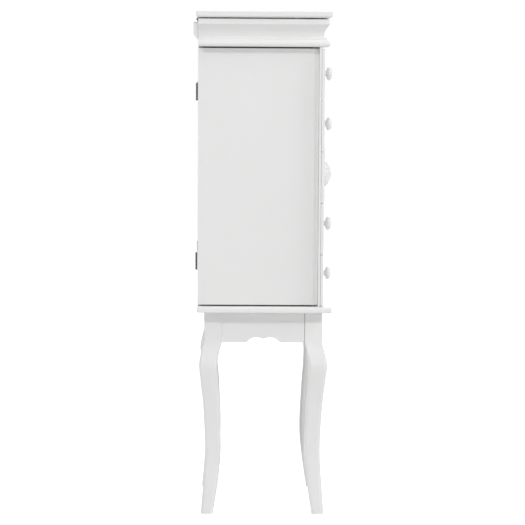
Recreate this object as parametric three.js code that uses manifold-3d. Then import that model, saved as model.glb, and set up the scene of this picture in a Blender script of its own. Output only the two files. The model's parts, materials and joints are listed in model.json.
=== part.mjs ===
// A jewelry cabinet on cabriole legs: a flip-up lid with a mirror under it, a top compartment inside
// a mitred cornice, five front drawers and a swing-out door on each side over a necklace space.
// Millimetres. +Z is up, the drawers face -Y and the doors face -X and +X. The origin is on the floor
// under the centre of the whole cabinet's box.

import * as THREE from "three";
import { mergeVertices } from "three/addons/utils/BufferGeometryUtils.js";
import Module from "manifold-3d";

const wasm = await Module();
wasm.setup();

// ---------------------------------------------------------------------------------------------
// Driving dimensions
// ---------------------------------------------------------------------------------------------

// Clearances
const seat = 0.3; // between two pieces that are glued or screwed together
const doorGap = 3; // above and below a door
const drawerGap = 2; // between two drawer fronts
const frontGap = 3; // above the top drawer front and below the bottom one
const sideRun = 1.5; // between a drawer and the wall that it runs along
const lidGap = 2; // between the closed lid and the cornice, filled by the bumpers

// Overall body
const bodyWidth = 338; // outside of one door to the outside of the other
const bodyDepth = 250; // face of the drawers to the back of the back panel
const bayHeight = 514; // base plate to cornice
const legHeight = 405.5;

// Base plate and lid
const plateThickness = 11.5;
const plateFrontOverhang = 17.2; // in front of the drawers
const plateSideOverhang = 20; // outside the doors
const plateBackOverhang = 0.5;
const lidThickness = 12;
const lidOverhang = 6; // past the cornice, at the front and the sides
const lidBackOverhang = 4; // behind the back panel
const mirrorThickness = 3;
const mirrorBorder = 22; // wood left round the mirror, inside the cornice's walls

// Carcass
const doorThickness = 14;
const necklaceDepth = 34; // door to partition
const partitionThickness = 9;
const backThickness = 9;
const stileDepth = 17;
const stileProud = 12; // the stile's side stands this far outside the door
const stileRound = 1; // radius of the stile's front corner
const stileStrip = 4.4; // the part of the stile that shows between a door and the drawers
const floorThickness = 6;
const runnerWidth = 10;
const runnerThickness = 8;
const runnerSetback = 8; // behind the stile

// Cornice moulding
const corniceHeight = 55;
const corniceWall = 20; // behind the plane of the stiles and the doors
const corniceTopProud = 14.6;
const corniceCoveProud = 3.4;
const corniceStepProud = 8.8;
const corniceBeadProud = 16.4;
const corniceFootProud = 12.2;
const corniceFasciaHeight = 12;
const corniceStepHeight = 18; // of the step under the cove, over the cornice's foot
const corniceBeadHeight = 12;

// Rail behind the cornice that the lid's hinges stand on
const railThickness = 9;
const railHeight = 34;
const railDrop = 8; // under the cornice's top
const railChamfer = 10;
const railSetback = 4; // in from each side of the body

// Legs and aprons
const legSize = 35.3;
const rearLegSetback = 14; // in from the back panel
const legFrontSetback = 0.7; // behind the drawers
const apronHeight = 61;
const apronThickness = 14;
const apronSetback = 1.5;
const sideScallopHalf = 32.5;
const frontScallopHalf = 48;
const scallopRise = 12.9;
const scallopCusp = 9.7;
const kneeDrop = 106; // under the base plate
const ankleHeight = 125;
const kneeShift = 9.4;
const kneeWidth = 37;
const calfShift = 2.6;
const calfWidth = 32.4;
const ankleShift = -0.9;
const ankleWidth = 31.8;
const toeShift = 10.8;
const toeWidth = 24.8;

// Doors
const pullGrooveWidth = 14; // the hollow for the fingers along the door's front edge
const pullGrooveDepth = 3;
const pullGrooveRim = 0.8; // the rim in front of the hollow is this much lower than the door's face
const catchHeight = 30;
const catchDepth = 9;
const catchWidth = 14;

// Hinges
const knuckleRadius = 2;
const pinRadius = 1;
const pinClearance = 0.3;
const leafThickness = 1;
const doorHingeHeight = 35;
const doorHingeLeaf = 13;
const doorHingeSpacing = 336; // between the two hinges of a door
const lidHingeLength = 50;
const lidHingeLeaf = 20;
const lidHingeInset = 64; // from each side of the body to the middle of a lid hinge

// Necklace hooks
const hookCount = 6;
const hookRailLength = 186;
const hookRailHeight = 24;
const hookRailThickness = 9;
const hookRailDrop = 26; // under the cornice
const hookReach = 17;
const hookRadius = 2.6;
const hookTipRadius = 4.4;

// Drawers
const drawerCount = 5;
const lipThickness = 6; // the part of a drawer front that lies over the stiles
const lipSetback = 1; // in from the side of the stiles
const lipEase = 1.2;
const plugThickness = 8; // the part of a drawer front that enters the bay
const plugSetback = 12; // plug and tray lie this far inside the front's top and bottom
const trayBackGap = 13; // between a shut drawer's tray and the back panel
const trayWall = 6;
const trayBottom = 4;
const knobRadius = 14;
const knobReach = 22;
const knobNeckRadius = 5;
const knobBaseRadius = 9;

// Carved ornament over the three middle drawers
const ornamentSpill = 32; // its reach over the drawers above and below the middle one
const ornamentWidth = 132;
const ornamentRelief = 9;
const bossRadius = 28;
const bossReach = 22;
const bossPetals = 8;
const groundThickness = 2.5;

// Insert and ring cushion in the top compartment
const insertThickness = 5;
const insertHeight = 36;
const centreBayWidth = 96;
const rearBayDepth = 55;
const cushionHeight = 25;
const cushionRolls = 6;
const cushionClearance = 1;
const bumperRadius = 5;

// ---------------------------------------------------------------------------------------------
// Planes and levels that the pieces share
// ---------------------------------------------------------------------------------------------

const frontReach = Math.max(knobReach, bossReach);
const faceY = (frontReach - bodyDepth - railThickness - seat) / 2; // face of the drawers
const backY = faceY + bodyDepth; // back of the back panel
const stileY = faceY + lipThickness + seat; // front of the stiles, and the cornice's base plane
const doorFrontY = stileY + stileStrip + seat;
const doorX = bodyWidth / 2; // outside of a door, and the cornice's base plane
const stileX = doorX + stileProud;
const doorInnerX = doorX - doorThickness;
const carcassX = doorInnerX - seat; // outside of the carcass behind the doors
const partitionX = doorInnerX - necklaceDepth; // outside of a partition
const bayX = partitionX - partitionThickness; // inside of a partition
const backInnerY = backY - backThickness;
const stileBackY = stileY + stileDepth;

const plateZ = legHeight + plateThickness; // top of the base plate
const corniceZ = plateZ + bayHeight; // underside of the cornice
const corniceTopZ = corniceZ + corniceHeight;
const lidZ = corniceTopZ + lidGap; // underside of the lid
const floorTopZ = corniceZ + seat + floorThickness;
const corniceInnerX = doorX - corniceWall;
const corniceInnerY = stileY + corniceWall;
const middleZ = (plateZ + corniceZ) / 2;
const drawerPitch = (bayHeight - 2 * frontGap + drawerGap) / drawerCount;
const drawerHeight = drawerPitch - drawerGap;
const ornamentHalf = drawerHeight / 2 + drawerGap + ornamentSpill;
const railTopZ = corniceTopZ - railDrop;

// ---------------------------------------------------------------------------------------------
// Paints and materials
// ---------------------------------------------------------------------------------------------

const finish = (color, roughness, metalness) => ({ color, roughness, metalness });
const whitePaint = finish(0xf1f1f0, 0.42, 0);
const darkSteel = finish(0x4b4b4d, 0.38, 0.9);
const silvered = finish(0xe8ecee, 0.03, 1);
const blackFelt = finish(0x2b2a2c, 0.95, 0);
const clearRubber = finish(0xd8dad8, 0.5, 0);

// ---------------------------------------------------------------------------------------------
// Solids
// ---------------------------------------------------------------------------------------------

// A three.js geometry as a manifold solid.
function solidOf(geometry) {
  const bare = new THREE.BufferGeometry();
  bare.setAttribute("position", geometry.getAttribute("position"));
  bare.setIndex(geometry.getIndex());
  const welded = mergeVertices(bare, 1e-3);
  return new wasm.Manifold(new wasm.Mesh({
    numProp: 3,
    vertProperties: Float32Array.from(welded.getAttribute("position").array),
    triVerts: Uint32Array.from(welded.getIndex().array),
  }));
}

// A manifold solid as a three.js geometry.
function geometryOf(solid) {
  const { vertProperties, triVerts } = solid.getMesh();
  const geometry = new THREE.BufferGeometry();
  geometry.setAttribute("position", new THREE.BufferAttribute(Float32Array.from(vertProperties), 3));
  geometry.setIndex(new THREE.BufferAttribute(Uint32Array.from(triVerts), 1));
  geometry.computeVertexNormals();
  return geometry;
}

function union(geometries) {
  const solids = geometries.map(solidOf);
  return geometryOf(solids.reduce((whole, solid) => whole.add(solid)));
}

function subtract(geometry, cutter) {
  return geometryOf(solidOf(geometry).subtract(solidOf(cutter)));
}

function intersect(geometry, other) {
  return geometryOf(solidOf(geometry).intersect(solidOf(other)));
}

// The same geometry seen in a mirror across the plane X = 0.
function mirrored(geometry) {
  const copy = geometry.clone();
  copy.scale(-1, 1, 1);
  const index = copy.getIndex() ?? new THREE.BufferAttribute(
    Uint32Array.from({ length: copy.getAttribute("position").count }, (_, i) => i), 1);
  const turned = Array.from(index.array);
  for (let i = 0; i < turned.length; i += 3) {
    [turned[i + 1], turned[i + 2]] = [turned[i + 2], turned[i + 1]];
  }
  copy.setIndex(turned);
  copy.computeVertexNormals();
  return copy;
}

// A box between two corners.
function block([x0, y0, z0], [x1, y1, z1]) {
  const geometry = new THREE.BoxGeometry(x1 - x0, y1 - y0, z1 - z0);
  geometry.translate((x0 + x1) / 2, (y0 + y1) / 2, (z0 + z1) / 2);
  return geometry;
}

// Skins rings of equal length into one closed body. Each ring runs counter-clockwise as seen from
// the last ring's side. The caps are a fan, or the triangles given for an outline with hollows.
function loft(rings, capTriangles) {
  const count = rings[0].length;
  const fan = Array.from({ length: count - 2 }, (_, i) => [0, i + 1, i + 2]);
  const cap = capTriangles ?? fan;
  const last = (rings.length - 1) * count;
  const index = [];
  for (let r = 0; r + 1 < rings.length; r += 1) {
    for (let i = 0; i < count; i += 1) {
      const a = r * count + i;
      const b = r * count + ((i + 1) % count);
      index.push(a, b, b + count, a, b + count, a + count);
    }
  }
  for (const [a, b, c] of cap) {
    index.push(a, c, b, last + a, last + b, last + c);
  }
  const geometry = new THREE.BufferGeometry().setFromPoints(rings.flat());
  geometry.setIndex(index);
  geometry.computeVertexNormals();
  return geometry;
}

// A level rectangle with rounded corners, counter-clockwise from above.
function roundedRing(x0, x1, y0, y1, radius, z, steps = 3) {
  const corners = [[x1, y1], [x0, y1], [x0, y0], [x1, y0]];
  return corners.flatMap(([x, y], quarter) => {
    const cx = x - Math.sign(x - (x0 + x1) / 2) * radius;
    const cy = y - Math.sign(y - (y0 + y1) / 2) * radius;
    return Array.from({ length: steps + 1 }, (_, i) => {
      const angle = (quarter + i / steps) * Math.PI / 2;
      return new THREE.Vector3(cx + radius * Math.cos(angle), cy + radius * Math.sin(angle), z);
    });
  });
}

// A level board whose four edges carry one moulding, given as [inset, height] from the bottom up.
function mouldedBoard(x0, x1, y0, y1, z, edge, cornerRadius = 3) {
  return loft(edge.map(([inset, height]) => roundedRing(
    x0 + inset, x1 - inset, y0 + inset, y1 - inset, cornerRadius, z + height)));
}

// A flat outline in X and Z, given thickness along Y from a front plane towards the back.
function uprightBoard(shape, frontY, thickness, ease = 0) {
  const geometry = new THREE.ExtrudeGeometry(shape, {
    depth: thickness - 2 * ease,
    curveSegments: 8,
    bevelEnabled: ease > 0,
    bevelThickness: ease,
    bevelSize: ease,
    bevelOffset: -ease,
    bevelSegments: 2,
  });
  geometry.rotateX(Math.PI / 2);
  geometry.translate(0, frontY + thickness - ease, 0);
  return geometry;
}

// A flat outline in Y and Z, given thickness along X.
function sideBoard(shape, x0, x1) {
  const depth = x1 - x0;
  const geometry = new THREE.ExtrudeGeometry(shape, { depth, curveSegments: 8, bevelEnabled: false });
  geometry.rotateX(Math.PI / 2);
  geometry.rotateZ(Math.PI / 2);
  geometry.translate(x0, 0, 0);
  return geometry;
}

// A plan outline in X and Y, standing between two levels.
function post(shape, z0, z1) {
  const depth = z1 - z0;
  const geometry = new THREE.ExtrudeGeometry(shape, { depth, curveSegments: 6, bevelEnabled: false });
  geometry.translate(0, 0, z0);
  return geometry;
}

function polygon(points) {
  return new THREE.Shape(points.map(([x, y]) => new THREE.Vector2(x, y)));
}

function rectangle(x0, x1, y0, y1) {
  return polygon([[x0, y0], [x1, y0], [x1, y1], [x0, y1]]);
}

// ---------------------------------------------------------------------------------------------
// The scene graph: one group for each body that moves on its own
// ---------------------------------------------------------------------------------------------

const cabinet = new THREE.Group();

function addBody() {
  const body = new THREE.Group();
  cabinet.add(body);
  return body;
}

function addPiece(body, name, geometry, { color, roughness, metalness }) {
  const material = new THREE.MeshStandardMaterial({ color, roughness, metalness });
  const mesh = new THREE.Mesh(geometry, material);
  mesh.name = name;
  body.add(mesh);
  return mesh;
}

// Adds a piece on the right-hand side (+X) of the first body and its mirror image on the other.
function addPair(rightBody, leftBody, name, geometry, material) {
  addPiece(rightBody, `${name}_right`, geometry, material);
  addPiece(leftBody, `${name}_left`, mirrored(geometry), material);
}

const carcass = addBody();
const lid = addBody();
const doorRight = addBody();
const doorLeft = addBody();

// ---------------------------------------------------------------------------------------------
// Stand: cabriole legs, aprons and the base plate
// ---------------------------------------------------------------------------------------------

// One leg for the +X, +Y corner, about its own post's centre line. Below the post its square
// section slides out along the diagonal to the knee, in to the ankle and out to the toe.
function legGeometry() {
  const postFoot = legHeight - apronHeight;
  const knee = legHeight - kneeDrop;
  const calf = (knee + ankleHeight) / 2;
  const stations = [
    [0, legSize, postFoot],
    [kneeShift * 0.62, legSize + 0.8, (postFoot + knee) / 2],
    [kneeShift, kneeWidth, knee],
    [kneeShift * 0.86, (kneeWidth + calfWidth) / 2, knee * 0.7 + calf * 0.3],
    [calfShift, calfWidth, calf],
    [ankleShift, ankleWidth, ankleHeight],
    [(ankleShift + toeShift) * 0.36, (ankleWidth + toeWidth) * 0.52, ankleHeight / 2],
    [toeShift, toeWidth, 0],
  ];
  const curve = new THREE.CatmullRomCurve3(stations.map((station) => new THREE.Vector3(...station)));
  const postEdge = 1.5;
  const carvedEdge = 7;
  const section = (shift, width, z, edge) => roundedRing(
    shift - width / 2, shift + width / 2, shift - width / 2, shift + width / 2, edge, z);
  const rings = [section(0, legSize, legHeight - seat, postEdge)];
  for (const { x: shift, y: width, z } of curve.getPoints(24)) {
    const carved = Math.min(1, (postFoot - z) / (postFoot - knee));
    rings.push(section(shift, width, Math.max(z, 0), postEdge + (carvedEdge - postEdge) * carved));
  }
  return loft(rings.reverse());
}

const legX = doorX - legSize / 2;
const frontLegY = faceY + legFrontSetback + legSize / 2;
const rearLegY = backY - rearLegSetback - legSize / 2;
const legCorners = [
  ["leg_rear_right", legX, rearLegY],
  ["leg_rear_left", -legX, rearLegY],
  ["leg_front_left", -legX, frontLegY],
  ["leg_front_right", legX, frontLegY],
];
legCorners.forEach(([name, x, y], quarter) => {
  const leg = addPiece(carcass, name, legGeometry(), whitePaint);
  leg.position.set(x, y, 0);
  leg.rotation.z = quarter * Math.PI / 2;
});

// An apron's outline: straight, or with two humps that meet in a cusp at the middle of its lower edge.
function apronShape(length, scallopHalf) {
  const half = length / 2;
  const shape = new THREE.Shape();
  shape.moveTo(-half, 0);
  if (scallopHalf > 0) {
    const shoulder = scallopHalf * 0.83;
    const hump = 2 * scallopRise - scallopCusp;
    shape.lineTo(-scallopHalf, 0);
    shape.quadraticCurveTo(-shoulder - 1, 1, -shoulder, scallopCusp);
    shape.quadraticCurveTo(-shoulder / 2, hump, 0, scallopCusp);
    shape.quadraticCurveTo(shoulder / 2, hump, shoulder, scallopCusp);
    shape.quadraticCurveTo(shoulder + 1, 1, scallopHalf, 0);
  }
  shape.lineTo(half, 0);
  shape.lineTo(half, apronHeight - seat);
  shape.lineTo(-half, apronHeight - seat);
  return shape;
}

const apronZ = legHeight - apronHeight;
const sideApronLength = rearLegY - frontLegY - legSize - 2 * seat;
const frontApronLength = 2 * legX - legSize - 2 * seat;
const apronOuterX = legX + legSize / 2 - apronSetback;
const apronInnerX = apronOuterX - apronThickness;
const sideApron = sideBoard(apronShape(sideApronLength, sideScallopHalf), apronInnerX, apronOuterX);
sideApron.translate(0, (frontLegY + rearLegY) / 2, apronZ);
addPair(carcass, carcass, "apron", sideApron, whitePaint);

const frontApronY = frontLegY - legSize / 2 + apronSetback;
const frontApron = uprightBoard(apronShape(frontApronLength, frontScallopHalf), frontApronY, apronThickness);
addPiece(carcass, "apron_front", frontApron, whitePaint).position.z = apronZ;

const backApronY = rearLegY + legSize / 2 - apronSetback - apronThickness;
const backApron = uprightBoard(apronShape(frontApronLength, 0), backApronY, apronThickness);
addPiece(carcass, "apron_back", backApron, whitePaint).position.z = apronZ;

const plateX = doorX + plateSideOverhang;
const plateEdge = [[1, 0], [0, 1], [0, 6.5], [1, 9.6], [3, 11.4], [6, plateThickness]];
addPiece(carcass, "base_plate", mouldedBoard(
  -plateX, plateX, faceY - plateFrontOverhang, backY + plateBackOverhang, legHeight, plateEdge), whitePaint);

// ---------------------------------------------------------------------------------------------
// Carcass: back panel, partitions with their drawer runners, corner stiles
// ---------------------------------------------------------------------------------------------

const lowZ = plateZ + seat;
const highZ = corniceZ - seat;
const backTopX = corniceInnerX - seat;
addPiece(carcass, "back_panel", uprightBoard(polygon([
  [-carcassX, lowZ], [carcassX, lowZ], [carcassX, highZ], [backTopX, highZ],
  [backTopX, corniceTopZ], [-backTopX, corniceTopZ], [-backTopX, highZ], [-carcassX, highZ],
]), backInnerY, backThickness), whitePaint);

// Underside of drawer number n's tray, counted from 0 at the bottom.
const frontBottomZ = (n) => plateZ + frontGap + n * drawerPitch;
const trayZ = (n) => frontBottomZ(n) + plugSetback;

const partitionFrontY = stileBackY + seat;
const partitionBackY = backInnerY - seat;
const partitionPanel = block([bayX, partitionFrontY, lowZ], [partitionX, partitionBackY, highZ]);
const runners = Array.from({ length: drawerCount }, (_, n) => block(
  [bayX - runnerWidth, partitionFrontY + runnerSetback, trayZ(n) - seat - runnerThickness],
  [bayX + 1, partitionBackY - runnerSetback, trayZ(n) - seat]));
addPair(carcass, carcass, "partition", union([partitionPanel, ...runners]), whitePaint);

// A stile's plan: its outer strip shows beside the drawers, and the door shuts into the rebate
// behind it.
const stileShape = new THREE.Shape();
stileShape.moveTo(bayX, stileY);
stileShape.lineTo(stileX - stileRound, stileY);
stileShape.quadraticCurveTo(stileX, stileY, stileX, stileY + stileRound);
stileShape.lineTo(stileX, stileY + stileStrip);
stileShape.lineTo(carcassX, stileY + stileStrip);
stileShape.lineTo(carcassX, stileBackY);
stileShape.lineTo(bayX, stileBackY);
addPair(carcass, carcass, "corner_stile", post(stileShape, lowZ, highZ), whitePaint);

// A magnet catch behind each stile holds the shut door's inner face.
addPair(carcass, carcass, "magnet_catch", block(
  [carcassX - catchWidth, stileBackY + seat, middleZ - catchHeight / 2],
  [carcassX, stileBackY + seat + catchDepth, middleZ + catchHeight / 2]), darkSteel);

// Necklace hooks: turned pegs in a rail on the partition's outer face.
function hookRail() {
  const x0 = partitionX + seat;
  const x1 = x0 + hookRailThickness;
  const topZ = corniceZ - hookRailDrop;
  const y0 = (partitionFrontY + partitionBackY - hookRailLength) / 2;
  const rail = block([x0, y0, topZ - hookRailHeight], [x1, y0 + hookRailLength, topZ]);
  const profile = [
    [0, -2], [hookRadius, -2], [hookRadius, hookReach - 6], [hookTipRadius, hookReach - 3],
    [hookTipRadius * 0.8, hookReach - 0.8], [0, hookReach],
  ].map(([radius, along]) => new THREE.Vector2(radius, along));
  const pegs = Array.from({ length: hookCount }, (_, i) => {
    const peg = new THREE.LatheGeometry(profile, 10);
    peg.rotateZ(-Math.PI / 2);
    peg.translate(x1, y0 + hookRailLength * (i + 0.5) / hookCount, topZ - hookRailHeight / 2);
    return peg;
  });
  return union([rail, ...pegs]);
}
addPair(carcass, carcass, "hook_rail", hookRail(), whitePaint);

// ---------------------------------------------------------------------------------------------
// Cornice: one moulding round three sides, mitred at the front corners
// ---------------------------------------------------------------------------------------------

// The moulding's section as [distance in front of the carcass, height over the cornice's foot].
function corniceSection() {
  const shape = new THREE.Shape();
  const fasciaZ = corniceHeight - corniceFasciaHeight;
  shape.moveTo(-corniceWall, 0);
  shape.lineTo(corniceFootProud, 0);
  shape.bezierCurveTo(corniceBeadProud, 1, corniceBeadProud + 1, corniceBeadHeight - 2,
    corniceStepProud + 2, corniceBeadHeight);
  shape.lineTo(corniceStepProud, corniceBeadHeight + 1.5);
  shape.lineTo(corniceStepProud, corniceStepHeight);
  shape.lineTo(corniceCoveProud, corniceStepHeight + 1.5);
  shape.bezierCurveTo(corniceCoveProud, fasciaZ - 10, corniceTopProud - 4, fasciaZ - 6,
    corniceTopProud - 1, fasciaZ);
  shape.lineTo(corniceTopProud, fasciaZ + 1);
  shape.lineTo(corniceTopProud, corniceHeight - 1.5);
  shape.lineTo(corniceTopProud - 1.5, corniceHeight);
  shape.lineTo(-corniceWall, corniceHeight);
  return shape.getPoints(7);
}

const section = corniceSection();
const sectionCap = THREE.ShapeUtils.triangulateShape(section, []);
const mitreGap = seat / 2;
const frontEnd = (side) => section.map(({ x: proud, y: height }) => new THREE.Vector3(
  side * (doorX + proud - mitreGap), stileY - proud, corniceZ + height));
addPiece(carcass, "cornice_front", loft([frontEnd(1), frontEnd(-1)], sectionCap), whitePaint);

const sideBackEnd = section.map(({ x: proud, y: height }) => new THREE.Vector3(
  doorX + proud, backY, corniceZ + height));
const sideFrontEnd = section.map(({ x: proud, y: height }) => new THREE.Vector3(
  doorX + proud, stileY - proud + mitreGap, corniceZ + height));
addPair(carcass, carcass, "cornice", loft([sideBackEnd, sideFrontEnd], sectionCap), whitePaint);

const railX = doorX - railSetback;
const railBackY = backY + seat + railThickness;
addPiece(carcass, "hinge_rail", sideBoard(polygon([
  [backY + seat, railTopZ - railHeight], [railBackY, railTopZ - railHeight + railChamfer],
  [railBackY, railTopZ], [backY + seat, railTopZ],
]), -railX, railX), whitePaint);

// ---------------------------------------------------------------------------------------------
// Top compartment: floor, insert and ring cushion
// ---------------------------------------------------------------------------------------------

const floorX = corniceInnerX - seat;
const floorFrontY = corniceInnerY + seat;
const floorBackY = backInnerY - seat;
addPiece(carcass, "compartment_floor", block(
  [-floorX, floorFrontY, corniceZ + seat], [floorX, floorBackY, floorTopZ]), whitePaint);

// Two boards along the depth, joined by a third behind the ring cushion.
const insertX = centreBayWidth / 2;
const insertZ = floorTopZ + seat;
const crossY = floorBackY - rearBayDepth;
const insertBoard = (side) => block(
  [side > 0 ? insertX : -insertX - insertThickness, floorFrontY, insertZ],
  [side > 0 ? insertX + insertThickness : -insertX, floorBackY, insertZ + insertHeight]);
const crossBoard = block(
  [-insertX - 1, crossY - insertThickness, insertZ], [insertX + 1, crossY, insertZ + insertHeight]);
addPiece(carcass, "compartment_insert", union([insertBoard(1), insertBoard(-1), crossBoard]), whitePaint);

// Soft rolls side by side, as one cushion: the rings are held in the grooves between them.
function ringCushion() {
  const x1 = insertX - cushionClearance;
  const y0 = floorFrontY + cushionClearance;
  const pitch = (crossY - insertThickness - cushionClearance - y0) / cushionRolls;
  const outline = [];
  const arcSteps = 6;
  for (let roll = 0; roll < cushionRolls; roll += 1) {
    for (let i = roll === 0 ? 0 : 1; i <= arcSteps; i += 1) {
      const angle = Math.PI * (1 - i / arcSteps);
      outline.push([
        y0 + pitch * (roll + 0.5 + 0.5 * Math.cos(angle)),
        cushionHeight * (0.55 + 0.45 * Math.sin(angle) ** 0.8),
      ]);
    }
  }
  const ends = [[-1, 0.86], [-0.93, 0.97], [0, 1], [0.93, 0.97], [1, 0.86]];
  const depth = crossY - insertThickness - cushionClearance - y0;
  const rings = ends.map(([across, full]) => {
    const top = outline.map(([y, z]) => new THREE.Vector3(
      across * x1, y0 + depth / 2 + (y - y0 - depth / 2) * (0.97 + 0.03 * full), insertZ + z * full));
    const base = [outline.at(-1)[0], outline[0][0]].map((y) => new THREE.Vector3(
      across * x1, y0 + depth / 2 + (y - y0 - depth / 2) * 0.98, insertZ));
    return [...top, ...base].reverse();
  });
  const flat = rings[0].map((point) => new THREE.Vector2(point.y, point.z));
  return loft(rings, THREE.ShapeUtils.triangulateShape(flat, []));
}
addPiece(carcass, "ring_cushion", ringCushion(), blackFelt);

const bumperInset = bumperRadius + 4; // from the cornice's inner faces to a bumper's centre
const bumper = new THREE.CylinderGeometry(bumperRadius, bumperRadius, lidGap - 2 * seat, 16);
bumper.rotateX(Math.PI / 2);
bumper.translate(corniceInnerX + bumperInset, corniceInnerY - bumperInset, corniceTopZ + lidGap / 2);
addPair(carcass, carcass, "lid_bumper", bumper, clearRubber);

// ---------------------------------------------------------------------------------------------
// Lid with the mirror in its underside
// ---------------------------------------------------------------------------------------------

const lidX = doorX + corniceTopProud + lidOverhang;
const lidFrontY = stileY - corniceTopProud - lidOverhang;
const lidBackY = backY + lidBackOverhang;
const lidEdge = [[3.4, 0], [2.4, 0.7], [0.6, 2.4], [0, 3.6], [0, lidThickness - 0.8], [0.8, lidThickness]];
const mirrorX = corniceInnerX - mirrorBorder;
const mirrorFrontY = corniceInnerY + mirrorBorder;
const mirrorBackY = backInnerY - mirrorBorder;
const lidBoard = mouldedBoard(-lidX, lidX, lidFrontY, lidBackY, lidZ, lidEdge);
const mirrorRecess = block(
  [-mirrorX - seat, mirrorFrontY - seat, lidZ - 1],
  [mirrorX + seat, mirrorBackY + seat, lidZ + mirrorThickness]);
addPiece(lid, "lid_board", subtract(lidBoard, mirrorRecess), whitePaint);
addPiece(lid, "lid_mirror", block(
  [-mirrorX, mirrorFrontY, lidZ], [mirrorX, mirrorBackY, lidZ + mirrorThickness - seat]), silvered);

// ---------------------------------------------------------------------------------------------
// Butt hinges. Each is built along +Z about its pin: the fixed leaf holds the pin and the two outer
// knuckles, and the moving leaf holds the middle knuckle, which turns on the pin.
// ---------------------------------------------------------------------------------------------

function knuckle(radius, z0, z1) {
  const cylinder = new THREE.CylinderGeometry(radius, radius, z1 - z0, 12);
  cylinder.rotateX(Math.PI / 2);
  cylinder.translate(0, 0, (z0 + z1) / 2);
  return cylinder;
}

function fixedLeaf(length, plates) {
  const half = length / 2;
  const third = length / 6;
  const cut = block([-length, -length, -third - seat], [length, length, third + seat]);
  const barrel = subtract(knuckle(knuckleRadius, -half, half), cut);
  return union([barrel, knuckle(pinRadius, -half, half), ...plates]);
}

function movingLeaf(length, plates) {
  const third = length / 6;
  const barrel = union([knuckle(knuckleRadius, -third, third), ...plates]);
  return subtract(barrel, knuckle(pinRadius + pinClearance, -length, length));
}

// A leaf's plate beside the knuckles that it must clear: at its root it is only as long as its own.
const rootWidth = knuckleRadius + seat;

// Door hinges stand on the back edge of the door and the back of the panel, over their joint line.
const hingePinX = doorInnerX;
const hingePinY = backY + seat + knuckleRadius;
const plateY0 = -knuckleRadius;
const plateY1 = plateY0 + leafThickness;
const third = doorHingeHeight / 6;
const halfHinge = doorHingeHeight / 2;
const frameLeaf = fixedLeaf(doorHingeHeight, [
  block([-doorHingeLeaf, plateY0, -halfHinge], [-rootWidth, plateY1, halfHinge]),
  block([-rootWidth - 0.5, plateY0, -halfHinge], [0, plateY1, -third - seat]),
  block([-rootWidth - 0.5, plateY0, third + seat], [0, plateY1, halfHinge]),
]);
const doorLeaf = movingLeaf(doorHingeHeight, [
  block([rootWidth, plateY0, -halfHinge], [doorHingeLeaf, plateY1, halfHinge]),
  block([0, plateY0, -third], [rootWidth + 0.5, plateY1, third]),
]);
for (const [place, side] of [["upper", 1], ["lower", -1]]) {
  const at = [hingePinX, hingePinY, middleZ + side * doorHingeSpacing / 2];
  addPair(carcass, carcass, `door_hinge_${place}_frame_leaf`, frameLeaf.clone().translate(...at), darkSteel);
  addPair(doorRight, doorLeft, `door_hinge_${place}_door_leaf`, doorLeaf.clone().translate(...at), darkSteel);
}

// Lid hinges lie along X. The fixed leaf steps down onto the rail and the moving one runs under the lid.
const lidPinY = backY + seat + knuckleRadius;
const lidPinZ = lidZ - knuckleRadius - 1;
const lidHalf = lidHingeLength / 2;
const lidThird = lidHingeLength / 6;
const flangeZ = railTopZ + seat;
const alongX = (geometry) => geometry.rotateY(Math.PI / 2);
function lidHingePlates(x0, x1, y0, y1, z0, z1) {
  return block([x0, y0 - lidPinY, z0 - lidPinZ], [x1, y1 - lidPinY, z1 - lidPinZ]);
}
function lidFixedLeaf() {
  const cut = block([-lidThird - seat, -lidHingeLength, -lidHingeLength],
    [lidThird + seat, lidHingeLength, lidHingeLength]);
  const outer = subtract(alongX(knuckle(knuckleRadius, -lidHalf, lidHalf)), cut);
  const webY1 = backY + seat + leafThickness;
  const web = (x0, x1) => lidHingePlates(x0, x1, backY + seat, webY1, flangeZ, lidPinZ);
  return union([
    outer,
    alongX(knuckle(pinRadius, -lidHalf, lidHalf)),
    lidHingePlates(-lidHalf, lidHalf, backY + seat, railBackY - 1, flangeZ, flangeZ + leafThickness),
    web(-lidHalf, -lidThird - seat),
    web(lidThird + seat, lidHalf),
  ]);
}
function lidMovingLeaf() {
  const top = lidZ - seat;
  const plate = lidHingePlates(-lidThird, lidThird, lidPinY - 1, lidPinY, top - leafThickness, top);
  const wide = lidHingePlates(-lidHalf, lidHalf, lidPinY - lidHingeLeaf, lidPinY - rootWidth,
    top - leafThickness, top);
  const neck = lidHingePlates(-lidThird, lidThird, lidPinY - rootWidth - 0.5, lidPinY + 1,
    top - leafThickness, top);
  const collar = lidHingePlates(-lidThird, lidThird, lidPinY - 1, lidPinY + 1, lidPinZ + 0.5, top - 0.2);
  const bore = alongX(knuckle(pinRadius + pinClearance, -lidHingeLength, lidHingeLength));
  const barrel = union([alongX(knuckle(knuckleRadius, -lidThird, lidThird)), plate, wide, neck, collar]);
  return subtract(barrel, bore);
}
const lidHingeAt = [doorX - lidHingeInset, lidPinY, lidPinZ];
addPair(carcass, carcass, "lid_hinge_frame_leaf", lidFixedLeaf().translate(...lidHingeAt), darkSteel);
addPair(lid, lid, "lid_hinge_lid_leaf", lidMovingLeaf().translate(...lidHingeAt), darkSteel);

// ---------------------------------------------------------------------------------------------
// Doors: a slab with a hollow for the fingers down the outside, along its front edge
// ---------------------------------------------------------------------------------------------

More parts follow.
